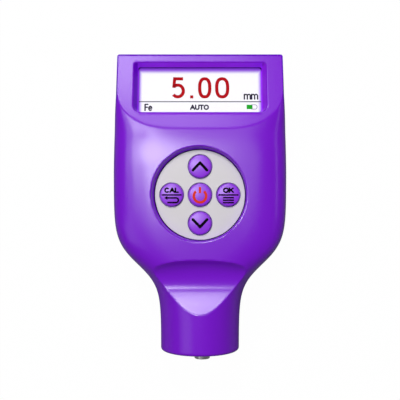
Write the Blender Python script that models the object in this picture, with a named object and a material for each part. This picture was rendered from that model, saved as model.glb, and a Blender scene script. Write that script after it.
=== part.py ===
"""Handheld coating thickness gauge, built as its separate pieces.

Metres, +Z up. The gauge lies on its flat back with its face up and its display
end towards +Y. The origin is the centre of its length and width, on the table.
"""

import math

import bmesh
import bpy
from mathutils import Matrix, Vector

# Housing
BODY_LENGTH = 0.1065
BODY_WIDTH = 0.0620
BODY_DEPTH = 0.0285
NECK_DIAMETER = 0.0285
NECK_LENGTH = 0.0320  # neck end to the middle of the shoulder
SHOULDER_SOFTNESS = 0.00426
TOP_NARROWING = 0.0015  # each side, from the widest place to the top
WIDEST_FROM_TOP = 0.0429
WALL = 0.0020
END_ROUNDING = 0.0012
FRONT_SQUARENESS = 4.6
HEAD_SQUARENESS = 10.0  # round the sloping face, where the side edges are sharper
HEAD_FROM_TOP = 0.0169
HEAD_BLEND = 0.0060
CROWN_FALL_FROM_TOP = 0.0399  # from here the top sinks towards the sloping face
CROWN_FALL_RADIUS = 0.1500
CROWN_FALL_REACH = 0.0210
BACK_SQUARENESS = 6.0
BACK_FLAT_CUT = 0.0006
CLEARANCE = 0.0003
PARTING_GAP = 0.0003
LIP_FROM_OUTSIDE = 0.0012  # tongue of the front shell inside the rear one's rim
LIP_THICKNESS = 0.0007
LIP_HEIGHT = 0.0015
LIP_ROOT = 0.0006

# Sloping face round the display
FACET_FROM_TOP = 0.0265
FACET_SLOPE = math.radians(11.3)
DISPLAY_FROM_TOP = 0.0120
FACE_MARGIN = 0.0075  # from the display's recess to the side of the housing
RECESS_HEIGHT = 0.0184
RECESS_DEPTH = 0.0030
RECESS_RUN = 0.0017  # how far its side walls slope in
RECESS_TOP_RADIUS = 0.0008
RECESS_BOTTOM_RADIUS = 0.0026
VIEW_HEIGHT = 0.0164
COLLAR_WALL = 0.0014

# Display stack, from the window down
LENS_MARGIN = 0.0012
LENS_THICKNESS = 0.0007
PANEL_THICKNESS = 0.0010
BACKLIGHT_THICKNESS = 0.0010
LCD_FRAME_SIDE = 0.0012
LCD_FRAME_END = 0.0008
LCD_FRAME_HOLE_WIDTH = 0.0276
LCD_FRAME_HOLE_HEIGHT = 0.0085
FLEX_WIDTH = 0.0200
FLEX_THICKNESS = 0.0003
FLEX_REACH = 0.0017
FLEX_TURN = 0.00085
FLEX_TAIL = 0.0020

# Thumb scoop between body and neck
SCOOP_RADIUS = 0.0225
SCOOP_FROM_NECK_END = 0.0267
SCOOP_DEPTH = 0.00385
SCOOP_WALL_Y = 0.0351  # from the neck end to the top of the steep wall
SCOOP_WALL_SLOPE = math.radians(54.5)
SCOOP_BLEND = 0.0006
SCOOP_PLAN_RADIUS = 0.0390  # bow of the steep wall, seen from above

# Keypad
KEYPAD_FROM_TOP = 0.0500
PLATE_DIAMETER = 0.0316
PLATE_THICKNESS = 0.0010
PLATE_DEPTH = 0.0029
POCKET_DRAFT = 0.0009
PLATE_LEDGE = 0.0008
POCKET_WALL = 0.0015
KEY_PITCH = 0.00995
KEY_DIAMETER = 0.0081
KEY_STAND = 0.0014
KEY_DOME = 0.0005
KEY_ROUNDING = 0.0006
KEY_FLANGE = 0.00055
KEY_FLANGE_THICKNESS = 0.0008
KEY_TRAVEL = 0.0005
KEY_STEM_DIAMETER = 0.0032
FLOOR_THICKNESS = 0.0012

# Board and switches
BOARD_THICKNESS = 0.0010
BOARD_HEAD_LENGTH = 0.0210
BOARD_CORNER = 0.0015
BOARD_FROM_TOP = 0.0034
BOARD_FROM_GUIDE = 0.0071
BOARD_FROM_PILLAR = 0.0008
SWITCH_SIDE = 0.0060
SWITCH_HEIGHT = 0.0030
PLUNGER_DIAMETER = 0.0034
PLUNGER_SINK = 0.0010
CHIP_SIDE = 0.0070
CHIP_THICKNESS = 0.0014
PLUG_WIDTH = 0.0050
PLUG_LENGTH = 0.0035
PLUG_HEIGHT = 0.0026
SMALL_CHAMFER = 0.00015

# Batteries, their bay and its door
CELL_DIAMETER = 0.0105
CELL_LENGTH = 0.0445
CELL_NUB_DIAMETER = 0.0038
CELL_NUB_LENGTH = 0.0010
CELL_RIM = 0.0006
CELL_SPACING = 0.0113
CONTACT_THICKNESS = 0.0004
CONTACT_HEIGHT = 0.0080
CONTACT_WIDTH = 0.0078
CONTACT_SPRING_LENGTH = 0.0030
CONTACT_SPRING_DIAMETER = 0.0062
CONTACT_SPRING_TURNS = 3
CONTACT_SPRING_TAPER = 0.35
CONTACT_WIRE = 0.0006
BAY_SIDE_ROOM = 0.0007
BAY_WALL = 0.0012
BAY_ROOF = 0.0010
BAY_FROM_TOP = 0.0081
DOOR_THICKNESS = 0.0016
DOOR_RECESS = 0.0002
DOOR_LEDGE = 0.0014
TAB_WIDTH = 0.0030
TAB_REACH = 0.0014
TAB_THICKNESS = 0.0008
TAB_FROM_BAY_SIDE = 0.0006
THUMB_RADIUS = 0.0130
THUMB_DEPTH = 0.0010
THUMB_FROM_END = 0.0095

# Probe in the neck
PROBE_OFFSET = 0.0008
PROBE_STAND_OUT = 0.0033
TIP_DIAMETER = 0.0056
TIP_LENGTH = 0.0089
TIP_ROUNDING = 0.0004
POLE_DIAMETER = 0.0028
POLE_LENGTH = 0.0100
BUSH_DIAMETER = 0.0092
BUSH_FLANGE_DIAMETER = 0.0132
BUSH_FLANGE_THICKNESS = 0.0012
BARREL_DIAMETER = 0.0084
BARREL_LENGTH = 0.0127
BARREL_WALL = 0.0005
BARREL_FRONT = 0.0010
COIL_LENGTH = 0.0080
GUIDE_WALL = 0.0012
GUIDE_FLANGE = 0.0015
GUIDE_FLANGE_THICKNESS = 0.0013
BULKHEAD = 0.0016
PROBE_SPRING_LENGTH = 0.0081
PROBE_WIRE = 0.0007
PROBE_SPRING_TURNS = 5.0
LEAD_DIAMETER = 0.0014

# Screws
SCREW_DIAMETER = 0.0019
SCREW_HEAD_DIAMETER = 0.0038
SCREW_HEAD = 0.0014
SCREW_HEAD_ROUNDING = 0.0005
SCREW_POINT = 0.0008
CASE_SCREW_LENGTH = 0.0110
CASE_SCREW_SINK = 0.0073
BOARD_SCREW_LENGTH = 0.0060
CASE_BOSS_DIAMETER = 0.0054
CASE_PILLAR_DIAMETER = 0.0064
BOARD_BOSS_DIAMETER = 0.0048
UPPER_CASE_SCREW_FROM_TOP = 0.0274
UPPER_CASE_SCREW_FROM_SIDE = 0.0054
LOWER_CASE_SCREW_FROM_SHOULDER = 0.0101
LOWER_CASE_SCREW_FROM_SIDE = 0.0071
UPPER_BOARD_SCREW_FROM_TOP = 0.0304
BOARD_SCREW_FROM_EDGE = 0.0030

# Fineness of the facets
FRONT_STEPS = 22
BACK_STEPS = 12
INNER_FRONT_STEPS = 12
INNER_BACK_STEPS = 8
ROUND_STEPS = 24
KEY_STEPS = 20
SMALL_ROUND_STEPS = 12
SPRING_STEPS = 8  # points in a turn
PLATE_STEPS = 40
WELD = 0.000001  # shorter edges are closed up after a cut
BEYOND = 0.0100  # how far a cutter runs past what it cuts

# Places worked out from the sizes above
TOP_Y = (BODY_LENGTH + PROBE_STAND_OUT) / 2
NECK_Y = TOP_Y - BODY_LENGTH
AXIS_Z = NECK_DIAMETER / 2
SHOULDER_Y = NECK_Y + NECK_LENGTH
WIDEST_Y = TOP_Y - WIDEST_FROM_TOP
FACET_Y = TOP_Y - FACET_FROM_TOP
DISPLAY_Y = TOP_Y - DISPLAY_FROM_TOP
KEYPAD_Y = TOP_Y - KEYPAD_FROM_TOP
SCOOP_Y = NECK_Y + SCOOP_FROM_NECK_END
HOLE_DIAMETER = SCREW_DIAMETER + 2 * CLEARANCE

RECESS_WIDTH = BODY_WIDTH - 2 * FACE_MARGIN
VIEW_WIDTH = RECESS_WIDTH - 2 * RECESS_RUN
LENS_TOP = RECESS_DEPTH + CLEARANCE
PANEL_TOP = LENS_TOP + LENS_THICKNESS + CLEARANCE
BACKLIGHT_TOP = PANEL_TOP + PANEL_THICKNESS + CLEARANCE
STACK_BOTTOM = BACKLIGHT_TOP + BACKLIGHT_THICKNESS + CLEARANCE
LENS_WIDTH = VIEW_WIDTH + 2 * LENS_MARGIN
LENS_HEIGHT = VIEW_HEIGHT + 2 * LENS_MARGIN
LCD_FRAME_WIDTH = LENS_WIDTH + 2 * (CLEARANCE + LCD_FRAME_SIDE)

CELL_Z = DOOR_RECESS + DOOR_THICKNESS + CLEARANCE + CELL_DIAMETER / 2
BAY_ROOF_Z = CELL_Z + CELL_DIAMETER / 2 + CLEARANCE
BAY_WIDTH = CELL_SPACING + CELL_DIAMETER + 2 * BAY_SIDE_ROOM
BAY_LENGTH = CELL_LENGTH + CONTACT_SPRING_LENGTH + 2 * CONTACT_THICKNESS + 5 * CLEARANCE
BAY_HIGH_Y = TOP_Y - BAY_FROM_TOP
BAY_LOW_Y = BAY_HIGH_Y - BAY_LENGTH
DOOR_WIDTH = BAY_WIDTH + 2 * DOOR_LEDGE
DOOR_LOW_Y = BAY_LOW_Y - DOOR_LEDGE
DOOR_HIGH_Y = BAY_HIGH_Y + DOOR_LEDGE
TAB_X = BAY_WIDTH / 2 - TAB_FROM_BAY_SIDE - TAB_WIDTH / 2

BOARD_Z = BAY_ROOF_Z + BAY_ROOF + 2 * CLEARANCE
BOARD_TOP = BOARD_Z + BOARD_THICKNESS
BOARD_HIGH_Y = TOP_Y - BOARD_FROM_TOP
PLATE_TOP = BODY_DEPTH - PLATE_DEPTH
PLATE_BOTTOM = PLATE_TOP - PLATE_THICKNESS
POCKET_RADIUS = PLATE_DIAMETER / 2 + CLEARANCE
FLANGE_TOP = PLATE_BOTTOM - CLEARANCE
FLANGE_BOTTOM = FLANGE_TOP - KEY_FLANGE_THICKNESS
FLOOR_TOP = FLANGE_BOTTOM - KEY_TRAVEL - CLEARANCE
FLOOR_BOTTOM = FLOOR_TOP - FLOOR_THICKNESS
SWITCH_TOP = BOARD_TOP + CLEARANCE + SWITCH_HEIGHT
PLUNGER_TOP = FLOOR_BOTTOM - 3 * CLEARANCE
STEM_BOTTOM = PLUNGER_TOP + CLEARANCE
KEY_PLACES = {
    "up": (0, KEY_PITCH),
    "down": (0, -KEY_PITCH),
    "left": (-KEY_PITCH, 0),
    "right": (KEY_PITCH, 0),
    "power": (0, 0),
}

TIP_Y = NECK_Y - PROBE_STAND_OUT
TIP_BACK_Y = TIP_Y + TIP_LENGTH
BARREL_Y = TIP_BACK_Y + CLEARANCE
BARREL_BACK_Y = BARREL_Y + BARREL_LENGTH
SPRING_Y = BARREL_BACK_Y + CLEARANCE
GUIDE_BACK_Y = SPRING_Y + PROBE_SPRING_LENGTH + CLEARANCE
BUSH_FLANGE_Y = NECK_Y + WALL + CLEARANCE
GUIDE_Y = BUSH_FLANGE_Y + BUSH_FLANGE_THICKNESS + CLEARANCE
GUIDE_BORE_RADIUS = BARREL_DIAMETER / 2 + CLEARANCE
GUIDE_RADIUS = GUIDE_BORE_RADIUS + GUIDE_WALL
GUIDE_FLANGE_Y = (GUIDE_Y + GUIDE_BACK_Y) / 2
BOARD_LOW_Y = GUIDE_BACK_Y + GUIDE_WALL + BOARD_FROM_GUIDE


def clear_scene():
    for obj in list(bpy.data.objects):
        bpy.data.objects.remove(obj, do_unlink=True)


def make_material(name, colour, roughness, metallic=0.0, alpha=1.0):
    made = bpy.data.materials.new(name)
    made.use_nodes = True
    shader = made.node_tree.nodes["Principled BSDF"]
    shader.inputs["Base Color"].default_value = (*colour, 1.0)
    shader.inputs["Roughness"].default_value = roughness
    shader.inputs["Metallic"].default_value = metallic
    shader.inputs["Alpha"].default_value = alpha
    made.diffuse_color = (*colour, alpha)
    return made


# Shapes


def finish_mesh(name, mesh, material=None, parent=None):
    """The bmesh as an object, its faces turned outwards and its round sides smooth."""
    bmesh.ops.remove_doubles(mesh, verts=mesh.verts, dist=1e-7)
    bmesh.ops.recalc_face_normals(mesh, faces=mesh.faces)
    data = bpy.data.meshes.new(name)
    mesh.to_mesh(data)
    mesh.free()
    data.shade_smooth()
    data.set_sharp_from_angle(angle=math.radians(30))
    if material:
        data.materials.append(material)
    made = bpy.data.objects.new(name, data)
    made.parent = parent
    bpy.context.scene.collection.objects.link(made)
    return made


def loft(rings):
    """A closed solid through rings of points, each ring with as many points."""
    mesh = bmesh.new()
    rows = [[mesh.verts.new(point) for point in ring] for ring in rings]
    count = len(rows[0])
    for low, high in zip(rows, rows[1:]):
        for i in range(count):
            j = (i + 1) % count
            mesh.faces.new((low[i], low[j], high[j], high[i]))
    mesh.faces.new(rows[0])
    mesh.faces.new(rows[-1])
    return mesh


def box(low, high):
    mesh = bmesh.new()
    bmesh.ops.create_cube(mesh, size=1.0)
    low, high = Vector(low), Vector(high)
    bmesh.ops.scale(mesh, vec=high - low, verts=mesh.verts)
    bmesh.ops.translate(mesh, vec=(low + high) / 2, verts=mesh.verts)
    return mesh


def soften(mesh, width, segments=2, upright_only=False):
    """Rounds a box's edges, or only those that run along Z."""
    edges = [
        edge
        for edge in mesh.edges
        if not upright_only
        or abs(edge.verts[0].co.z - edge.verts[1].co.z) > 1e-6
    ]
    bmesh.ops.bevel(
        mesh, geom=edges, offset=width, segments=segments, profile=0.5, affect="EDGES"
    )
    return mesh


def revolve(profile, steps=ROUND_STEPS, closed=False):
    """A solid turned about Z from (radius, height) points. A closed profile makes a ring."""
    mesh = bmesh.new()
    points = [mesh.verts.new((radius, 0, height)) for radius, height in profile]
    pairs = list(zip(points, points[1:])) + ([(points[-1], points[0])] if closed else [])
    edges = [mesh.edges.new(pair) for pair in pairs]
    bmesh.ops.spin(
        mesh,
        geom=points + edges,
        cent=(0, 0, 0),
        axis=(0, 0, 1),
        angle=2 * math.pi,
        steps=steps,
        use_merge=True,
    )
    bmesh.ops.remove_doubles(mesh, verts=mesh.verts, dist=1e-7)
    return mesh


def cylinder(radius, low, high, steps=ROUND_STEPS):
    return revolve([(0, low), (radius, low), (radius, high), (0, high)], steps)


def tube(inner, outer, low, high, steps=ROUND_STEPS):
    corners = [(inner, low), (outer, low), (outer, high), (inner, high)]
    return revolve(corners, steps, closed=True)


def moved(mesh, matrix):
    bmesh.ops.transform(mesh, matrix=matrix, verts=mesh.verts)
    return mesh


def at(x, y, z=0.0):
    return Matrix.Translation((x, y, z))


def along_neck(y):
    """Turns +Z to +Y on the probe's axis, with height 0 at this y."""
    return at(PROBE_OFFSET, y, AXIS_Z) @ Matrix.Rotation(math.radians(-90), 4, "X")


def on_facet(depth=0.0):
    """Centre of the display's recess, its Z out of the sloping face, this far under it."""
    edge = BODY_DEPTH - crown_fall(FACET_Y)
    height = edge - (DISPLAY_Y - FACET_Y) * math.tan(FACET_SLOPE)
    tilt = Matrix.Rotation(-FACET_SLOPE, 4, "X")
    return at(0, DISPLAY_Y, height) @ tilt @ at(0, 0, -depth)


def combine(target, mesh, operation="DIFFERENCE"):
    """Cuts a shape out of the target, adds it, or keeps only what they share."""
    tool = finish_mesh("tool", mesh)
    modifier = target.modifiers.new(operation.lower(), "BOOLEAN")
    modifier.operation = operation
    modifier.solver = "EXACT"
    modifier.object = tool
    graph = bpy.context.evaluated_depsgraph_get()
    result = bpy.data.meshes.new_from_object(target.evaluated_get(graph))
    target.modifiers.clear()
    welded = bmesh.new()
    welded.from_mesh(result)
    bmesh.ops.dissolve_degenerate(welded, edges=welded.edges, dist=WELD)
    welded.to_mesh(result)
    welded.free()
    target.data = result
    bpy.data.objects.remove(tool, do_unlink=True)
    return target


def painted(obj, material):
    """Gives a cut piece its one material."""
    obj.data.materials.clear()
    obj.data.materials.append(material)
    return obj


def mesh_of(obj):
    """The object's shape as a bmesh, with the object itself taken away."""
    mesh = bmesh.new()
    mesh.from_mesh(obj.data)
    bpy.data.objects.remove(obj, do_unlink=True)
    return mesh


def rounded_edge(radius, height, rounding, sign=1, steps=2):
    """A turned profile's quarter circle, from its side to its end at this height."""
    points = []
    for step in range(steps + 1):
        angle = math.radians(90) * step / steps
        inwards = rounding * (1 - math.cos(angle))
        points.append((radius - inwards, height - sign * rounding * (1 - math.sin(angle))))
    return points


def thickened(route, thickness):
    """Outline of a strip of this thickness along a route of points in Y and Z."""
    far = []
    for index, (y, z) in enumerate(route):
        before = Vector(route[max(index - 1, 0)])
        after = Vector(route[min(index + 1, len(route) - 1)])
        along = (after - before).normalized()
        far.append((y + along.y * thickness, z - along.x * thickness))
    return list(route) + far[::-1]


def rounded_outline(width, height, low_radius, high_radius, steps=4):
    """A rectangle's outline in X and Y, anticlockwise, with its corners rounded."""
    points = []
    corners = [
        (1, 1, high_radius),
        (-1, 1, high_radius),
        (-1, -1, low_radius),
        (1, -1, low_radius),
    ]
    for turn, (across, up, radius) in enumerate(corners):
        for step in range(steps + 1):
            angle = math.radians(90) * (turn + step / steps)
            points.append(
                (
                    across * (width / 2 - radius) + radius * math.cos(angle),
                    up * (height / 2 - radius) + radius * math.sin(angle),
                )
            )
    return points


def wire(name, points, diameter, material):
    """Round wire or cable through a row of points."""
    curve = bpy.data.curves.new(name, "CURVE")
    curve.dimensions = "3D"
    curve.bevel_depth = diameter / 2
    curve.bevel_resolution = 1
    curve.use_fill_caps = True
    spline = curve.splines.new("POLY")
    spline.points.add(len(points) - 1)
    for spot, point in zip(spline.points, points):
        spot.co = (*point, 1.0)
    curve.materials.append(material)
    made = bpy.data.objects.new(name, curve)
    bpy.context.scene.collection.objects.link(made)
    return made


# The housing's outer form


def spread(y):
    """How far the section has grown from neck (0) to body (1)."""
    return 1 / (1 + math.exp(-(y - SHOULDER_Y) / SHOULDER_SOFTNESS))


def half_width(y):
    upper = max(0.0, (y - WIDEST_Y) / (TOP_Y - WIDEST_Y))
    side = BODY_WIDTH / 2 - TOP_NARROWING * upper**1.5
    return AXIS_Z + (side - AXIS_Z) * spread(y)


def crown_fall(y):
    """How far the top has sunk here: along an arc, then straight on."""
    past = max(y - TOP_Y + CROWN_FALL_FROM_TOP, 0.0)
    bent = min(past, CROWN_FALL_REACH)
    return (bent**2 / 2 + bent * (past - bent)) / CROWN_FALL_RADIUS


def front_squareness(y):
    """2 in the round neck, the body's further up, and the head's round the display."""
    rise = (y - (TOP_Y - HEAD_FROM_TOP - HEAD_BLEND)) / HEAD_BLEND
    rise = min(max(rise, 0.0), 1.0)
    head = (HEAD_SQUARENESS - FRONT_SQUARENESS) * rise * rise * (3 - 2 * rise)
    return 2 + (FRONT_SQUARENESS - 2) * spread(y) + head


def power(value, exponent):
    return math.copysign(abs(value) ** exponent, value)


def section(y, station, inset, fine=False):
    """The housing's section: a rounded square over a flatter one, round in the neck."""
    grown = spread(y)
    half = half_width(y) - inset
    up = AXIS_Z + (BODY_DEPTH - 2 * AXIS_Z) * grown - crown_fall(y) - inset
    down = AXIS_Z + BACK_FLAT_CUT * grown - inset
    front_power = 2 / front_squareness(y)
    back_power = 2 / (2 + (BACK_SQUARENESS - 2) * grown)
    front_steps = FRONT_STEPS if fine else INNER_FRONT_STEPS
    back_steps = BACK_STEPS if fine else INNER_BACK_STEPS
    ring = []
    for step in range(front_steps + 1):
        angle = math.pi * step / front_steps
        height = up * abs(math.sin(angle)) ** front_power
        ring.append((half * power(math.cos(angle), front_power), station, AXIS_Z + height))
    for step in range(1, back_steps):
        angle = math.pi * (1 + step / back_steps)
        depth = min(AXIS_Z - inset, down * abs(math.sin(angle)) ** back_power)
        ring.append((half * power(math.cos(angle), back_power), station, AXIS_Z - depth))
    return ring


def stations(shoulder_steps, body_steps):
    """Places along Y for the sections, closest together over the shoulder."""
    reach = 5 * SHOULDER_SOFTNESS
    low, high = SHOULDER_Y - reach, SHOULDER_Y + reach
    end = TOP_Y - END_ROUNDING
    neck = [NECK_Y + END_ROUNDING, (NECK_Y + END_ROUNDING + low) / 2]
    shoulder = [low + (high - low) * step / shoulder_steps for step in range(shoulder_steps)]
    body = [high + (end - high) * step / body_steps for step in range(body_steps + 1)]
    return neck + shoulder + body


def scoop_wall_y(x):
    """Where the steep wall meets the top of the housing, bowed towards the display."""
    return NECK_Y + SCOOP_WALL_Y - x**2 / (2 * SCOOP_PLAN_RADIUS)


def scoop_floor(x, y, inset=0.0):
    """Height of the scoop: a long arc and a steep wall, blended where they meet."""
    radius = SCOOP_RADIUS + inset
    centre_z = BODY_DEPTH - SCOOP_DEPTH + SCOOP_RADIUS
    arc = centre_z - math.sqrt(max(radius**2 - (y - SCOOP_Y) ** 2, 0.0))
    wall_y = scoop_wall_y(x) + inset / math.sin(SCOOP_WALL_SLOPE)
    wall = BODY_DEPTH + (y - wall_y) * math.tan(SCOOP_WALL_SLOPE)
    return (arc + wall + math.sqrt((arc - wall) ** 2 + (2 * SCOOP_BLEND) ** 2)) / 2


def scoop_cutter(inset):
    side = NECK_DIAMETER
    top = BODY_DEPTH + BEYOND
    chord = math.sqrt(SCOOP_RADIUS**2 - (SCOOP_RADIUS - SCOOP_DEPTH) ** 2)
    low_y = SCOOP_Y - chord - 2 * WALL
    slices, steps = (8, 10) if inset else (14, 16)
    rings = []
    for index in range(slices + 1):
        x = side * (2 * index / slices - 1)
        high_y = scoop_wall_y(x) + inset + 2 * WALL
        rows = [low_y + (high_y - low_y) * step / steps for step in range(steps + 1)]
        ring = [(x, y, scoop_floor(x, y, inset)) for y in rows]
        rings.append(ring + [(x, high_y, top), (x, low_y, top)])
    return loft(rings)


def facet_cutter(inset):
    size = BODY_LENGTH
    block = box((-size, -size, 0), (size, size, size))
    return moved(block, on_facet(inset))


def plain_form(inset):
    """The housing's closed form before its cuts, this far under its outer surface."""
    rings = [section(NECK_Y, NECK_Y + inset, inset)]
    rings += [section(y, y, inset) for y in stations(10, 4) if NECK_Y + inset < y < TOP_Y - inset]
    rings.append(section(TOP_Y, TOP_Y - inset, inset))
    return loft(rings)


def outer_form():
    """The housing's outer form before its cuts, its two ends rounded."""
    steps = 3
    ends = {NECK_Y: [], TOP_Y: []}
    for y, rings in ends.items():
        inwards = 1 if y == NECK_Y else -1
        for step in range(steps):
            angle = math.radians(90) * step / steps
            station = y + inwards * END_ROUNDING * (1 - math.cos(angle))
            inset = END_ROUNDING * (1 - math.sin(angle))
            rings.append(section(station, station, inset, fine=True))
    rings = ends[NECK_Y] + [section(y, y, 0, fine=True) for y in stations(16, 6)]
    return loft(rings + ends[TOP_Y][::-1])


def body_form(name, inset=0.0):
    """The housing's form with its sloping face and its scoop cut."""
    made = finish_mesh(name, plain_form(inset) if inset else outer_form())
    combine(made, facet_cutter(inset))
    combine(made, scoop_cutter(inset))
    return made


def rim(name, outer_inset, inner_inset, low, high):
    """A ring that follows the housing's wall between two heights."""
    made = finish_mesh(name, plain_form(outer_inset))
    combine(made, plain_form(inner_inset))
    size = BODY_LENGTH
    combine(made, box((-size, -size, low), (size, size, high)), "INTERSECT")
    return mesh_of(made)


def both_sides(places):
    return [(side * x, y) for x, y in places for side in (-1, 1)]


def lower_case_screw():
    y = SHOULDER_Y + LOWER_CASE_SCREW_FROM_SHOULDER
    return half_width(y) - LOWER_CASE_SCREW_FROM_SIDE, y


def case_screw_places():
    upper_y = TOP_Y - UPPER_CASE_SCREW_FROM_TOP
    upper_x = half_width(upper_y) - UPPER_CASE_SCREW_FROM_SIDE
    return both_sides([(upper_x, upper_y), lower_case_screw()])


def board_half_width():
    """The board's edge, clear of the lower pillars."""
    pillar_x, _ = lower_case_screw()
    return pillar_x - CASE_PILLAR_DIAMETER / 2 - BOARD_FROM_PILLAR


def board_screw_places():
    x = board_half_width() - BOARD_SCREW_FROM_EDGE
    upper_y = TOP_Y - UPPER_BOARD_SCREW_FROM_TOP
    return both_sides([(x, upper_y), (x, BOARD_LOW_Y + BOARD_SCREW_FROM_EDGE)])


def cut_holes(target, places, radius, low, high):
    for x, y in places:
        combine(target, moved(cylinder(radius, low, high, SMALL_ROUND_STEPS), at(x, y)))


def bulkheads():
    """Two walls across the neck that carry the probe's guide by its flange."""
    apart = GUIDE_FLANGE_THICKNESS / 2 + CLEARANCE
    reach = NECK_DIAMETER
    slabs = []
    for low in (GUIDE_FLANGE_Y - apart - BULKHEAD, GUIDE_FLANGE_Y + apart):
        slabs.append(box((-reach, low, -reach), (reach, low + BULKHEAD, reach + BODY_DEPTH)))
    return slabs


def cut_probe_channel(shell):
    guide_hole = GUIDE_RADIUS + CLEARANCE
    guide_run = GUIDE_BACK_Y - GUIDE_Y + BEYOND
    combine(shell, moved(cylinder(guide_hole, 0, guide_run), along_neck(GUIDE_Y)))
    bush_hole = BUSH_DIAMETER / 2 + CLEARANCE
    combine(shell, moved(cylinder(bush_hole, -BEYOND, 2 * WALL), along_neck(NECK_Y)))


def display_recess():
    """Tapered pocket in the sloping face, with its lower corners rounder than the upper."""
    top = BEYOND / 2
    grow = (top + RECESS_DEPTH) / RECESS_DEPTH
    rings = []
    for height, share in ((-LENS_TOP, 0), (-RECESS_DEPTH, 0), (top, grow)):
        outline = rounded_outline(
            VIEW_WIDTH + (RECESS_WIDTH - VIEW_WIDTH) * share,
            VIEW_HEIGHT + (RECESS_HEIGHT - VIEW_HEIGHT) * share,
            RECESS_BOTTOM_RADIUS,
            RECESS_TOP_RADIUS,
        )
        rings.append([(x, y, height) for x, y in outline])
    return moved(loft(rings), on_facet())


def keypad_pocket():
    """Round pocket with a ledge that carries the plate, and room below for the keys."""
    top = BODY_DEPTH + BEYOND
    draft = POCKET_DRAFT * (top - PLATE_TOP) / PLATE_DEPTH
    ledge_radius = POCKET_RADIUS - CLEARANCE - PLATE_LEDGE
    profile = [
        (0, FLOOR_TOP),
        (ledge_radius, FLOOR_TOP),
        (ledge_radius, PLATE_BOTTOM - CLEARANCE),
        (POCKET_RADIUS, PLATE_BOTTOM - CLEARANCE),
        (POCKET_RADIUS, PLATE_TOP),
        (POCKET_RADIUS + draft, top),
        (0, top),
    ]
    return moved(revolve(profile, PLATE_STEPS), at(0, KEYPAD_Y))


def front_cavity():
    """The front shell's hollow, less the walls and bosses that stand in it."""
    cavity = body_form("front_cavity", WALL)
    half = RECESS_WIDTH / 2 + COLLAR_WALL
    low = -RECESS_HEIGHT / 2 - COLLAR_WALL
    collar = box((-half, low, -RECESS_DEPTH), (half, DISPLAY_FROM_TOP + BEYOND, BEYOND))
    combine(cavity, moved(collar, on_facet()))
    top = BODY_DEPTH + BEYOND
    around_pocket = cylinder(POCKET_RADIUS + POCKET_WALL, FLOOR_BOTTOM, top)
    combine(cavity, moved(around_pocket, at(0, KEYPAD_Y)))
    cut_holes(cavity, case_screw_places(), CASE_BOSS_DIAMETER / 2, -BEYOND, top)
    board_rest = BOARD_TOP + CLEARANCE
    cut_holes(cavity, board_screw_places(), BOARD_BOSS_DIAMETER / 2, board_rest, top)
    for slab in bulkheads():
        combine(cavity, slab)
    return mesh_of(cavity)


def front_shell(material):
    shell = body_form("front_shell")
    low = AXIS_Z + PARTING_GAP / 2
    size = BODY_LENGTH
    combine(shell, box((-size, -size, -size), (size, size, low)))
    combine(shell, front_cavity())
    inner = LIP_FROM_OUTSIDE + LIP_THICKNESS
    lip = rim("lip", LIP_FROM_OUTSIDE, inner, low - LIP_HEIGHT, low + LIP_ROOT)
    combine(shell, lip, "UNION")
    combine(shell, display_recess())
    combine(shell, keypad_pocket())
    keys = [(x, KEYPAD_Y + y) for x, y in KEY_PLACES.values()]
    stem_hole = KEY_STEM_DIAMETER / 2 + CLEARANCE
    cut_holes(shell, keys, stem_hole, FLOOR_BOTTOM - WALL, FLOOR_TOP + CLEARANCE)
    thread = HOLE_DIAMETER / 2
    screw_end = CASE_SCREW_SINK + SCREW_HEAD + CASE_SCREW_LENGTH + CLEARANCE
    cut_holes(shell, case_screw_places(), thread, 0, screw_end)
    cut_holes(shell, board_screw_places(), thread, 0, BOARD_Z + BOARD_SCREW_LENGTH)
    cut_probe_channel(shell)
    return painted(shell, material)


def rear_cavity():
    """The rear shell's hollow, less its pillars, bulkheads and battery bay."""
    cavity = body_form("rear_cavity", WALL)
    size = BODY_LENGTH
    cut_holes(cavity, case_screw_places(), CASE_PILLAR_DIAMETER / 2, -BEYOND, size)
    for slab in bulkheads():
        combine(cavity, slab)
    ledge_top = DOOR_RECESS + DOOR_THICKNESS + CLEARANCE + BAY_WALL
    wide = DOOR_WIDTH / 2 + CLEARANCE + BAY_WALL
    low, high = DOOR_LOW_Y - CLEARANCE - BAY_WALL, DOOR_HIGH_Y + CLEARANCE + BAY_WALL
    combine(cavity, box((-wide, low, -BEYOND), (wide, high, ledge_top)))
    narrow = BAY_WIDTH / 2 + BAY_WALL
    low, high = BAY_LOW_Y - BAY_WALL, BAY_HIGH_Y + BAY_WALL
    combine(cavity, box((-narrow, low, -BEYOND), (narrow, high, BAY_ROOF_Z + BAY_ROOF)))
    return mesh_of(cavity)


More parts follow.
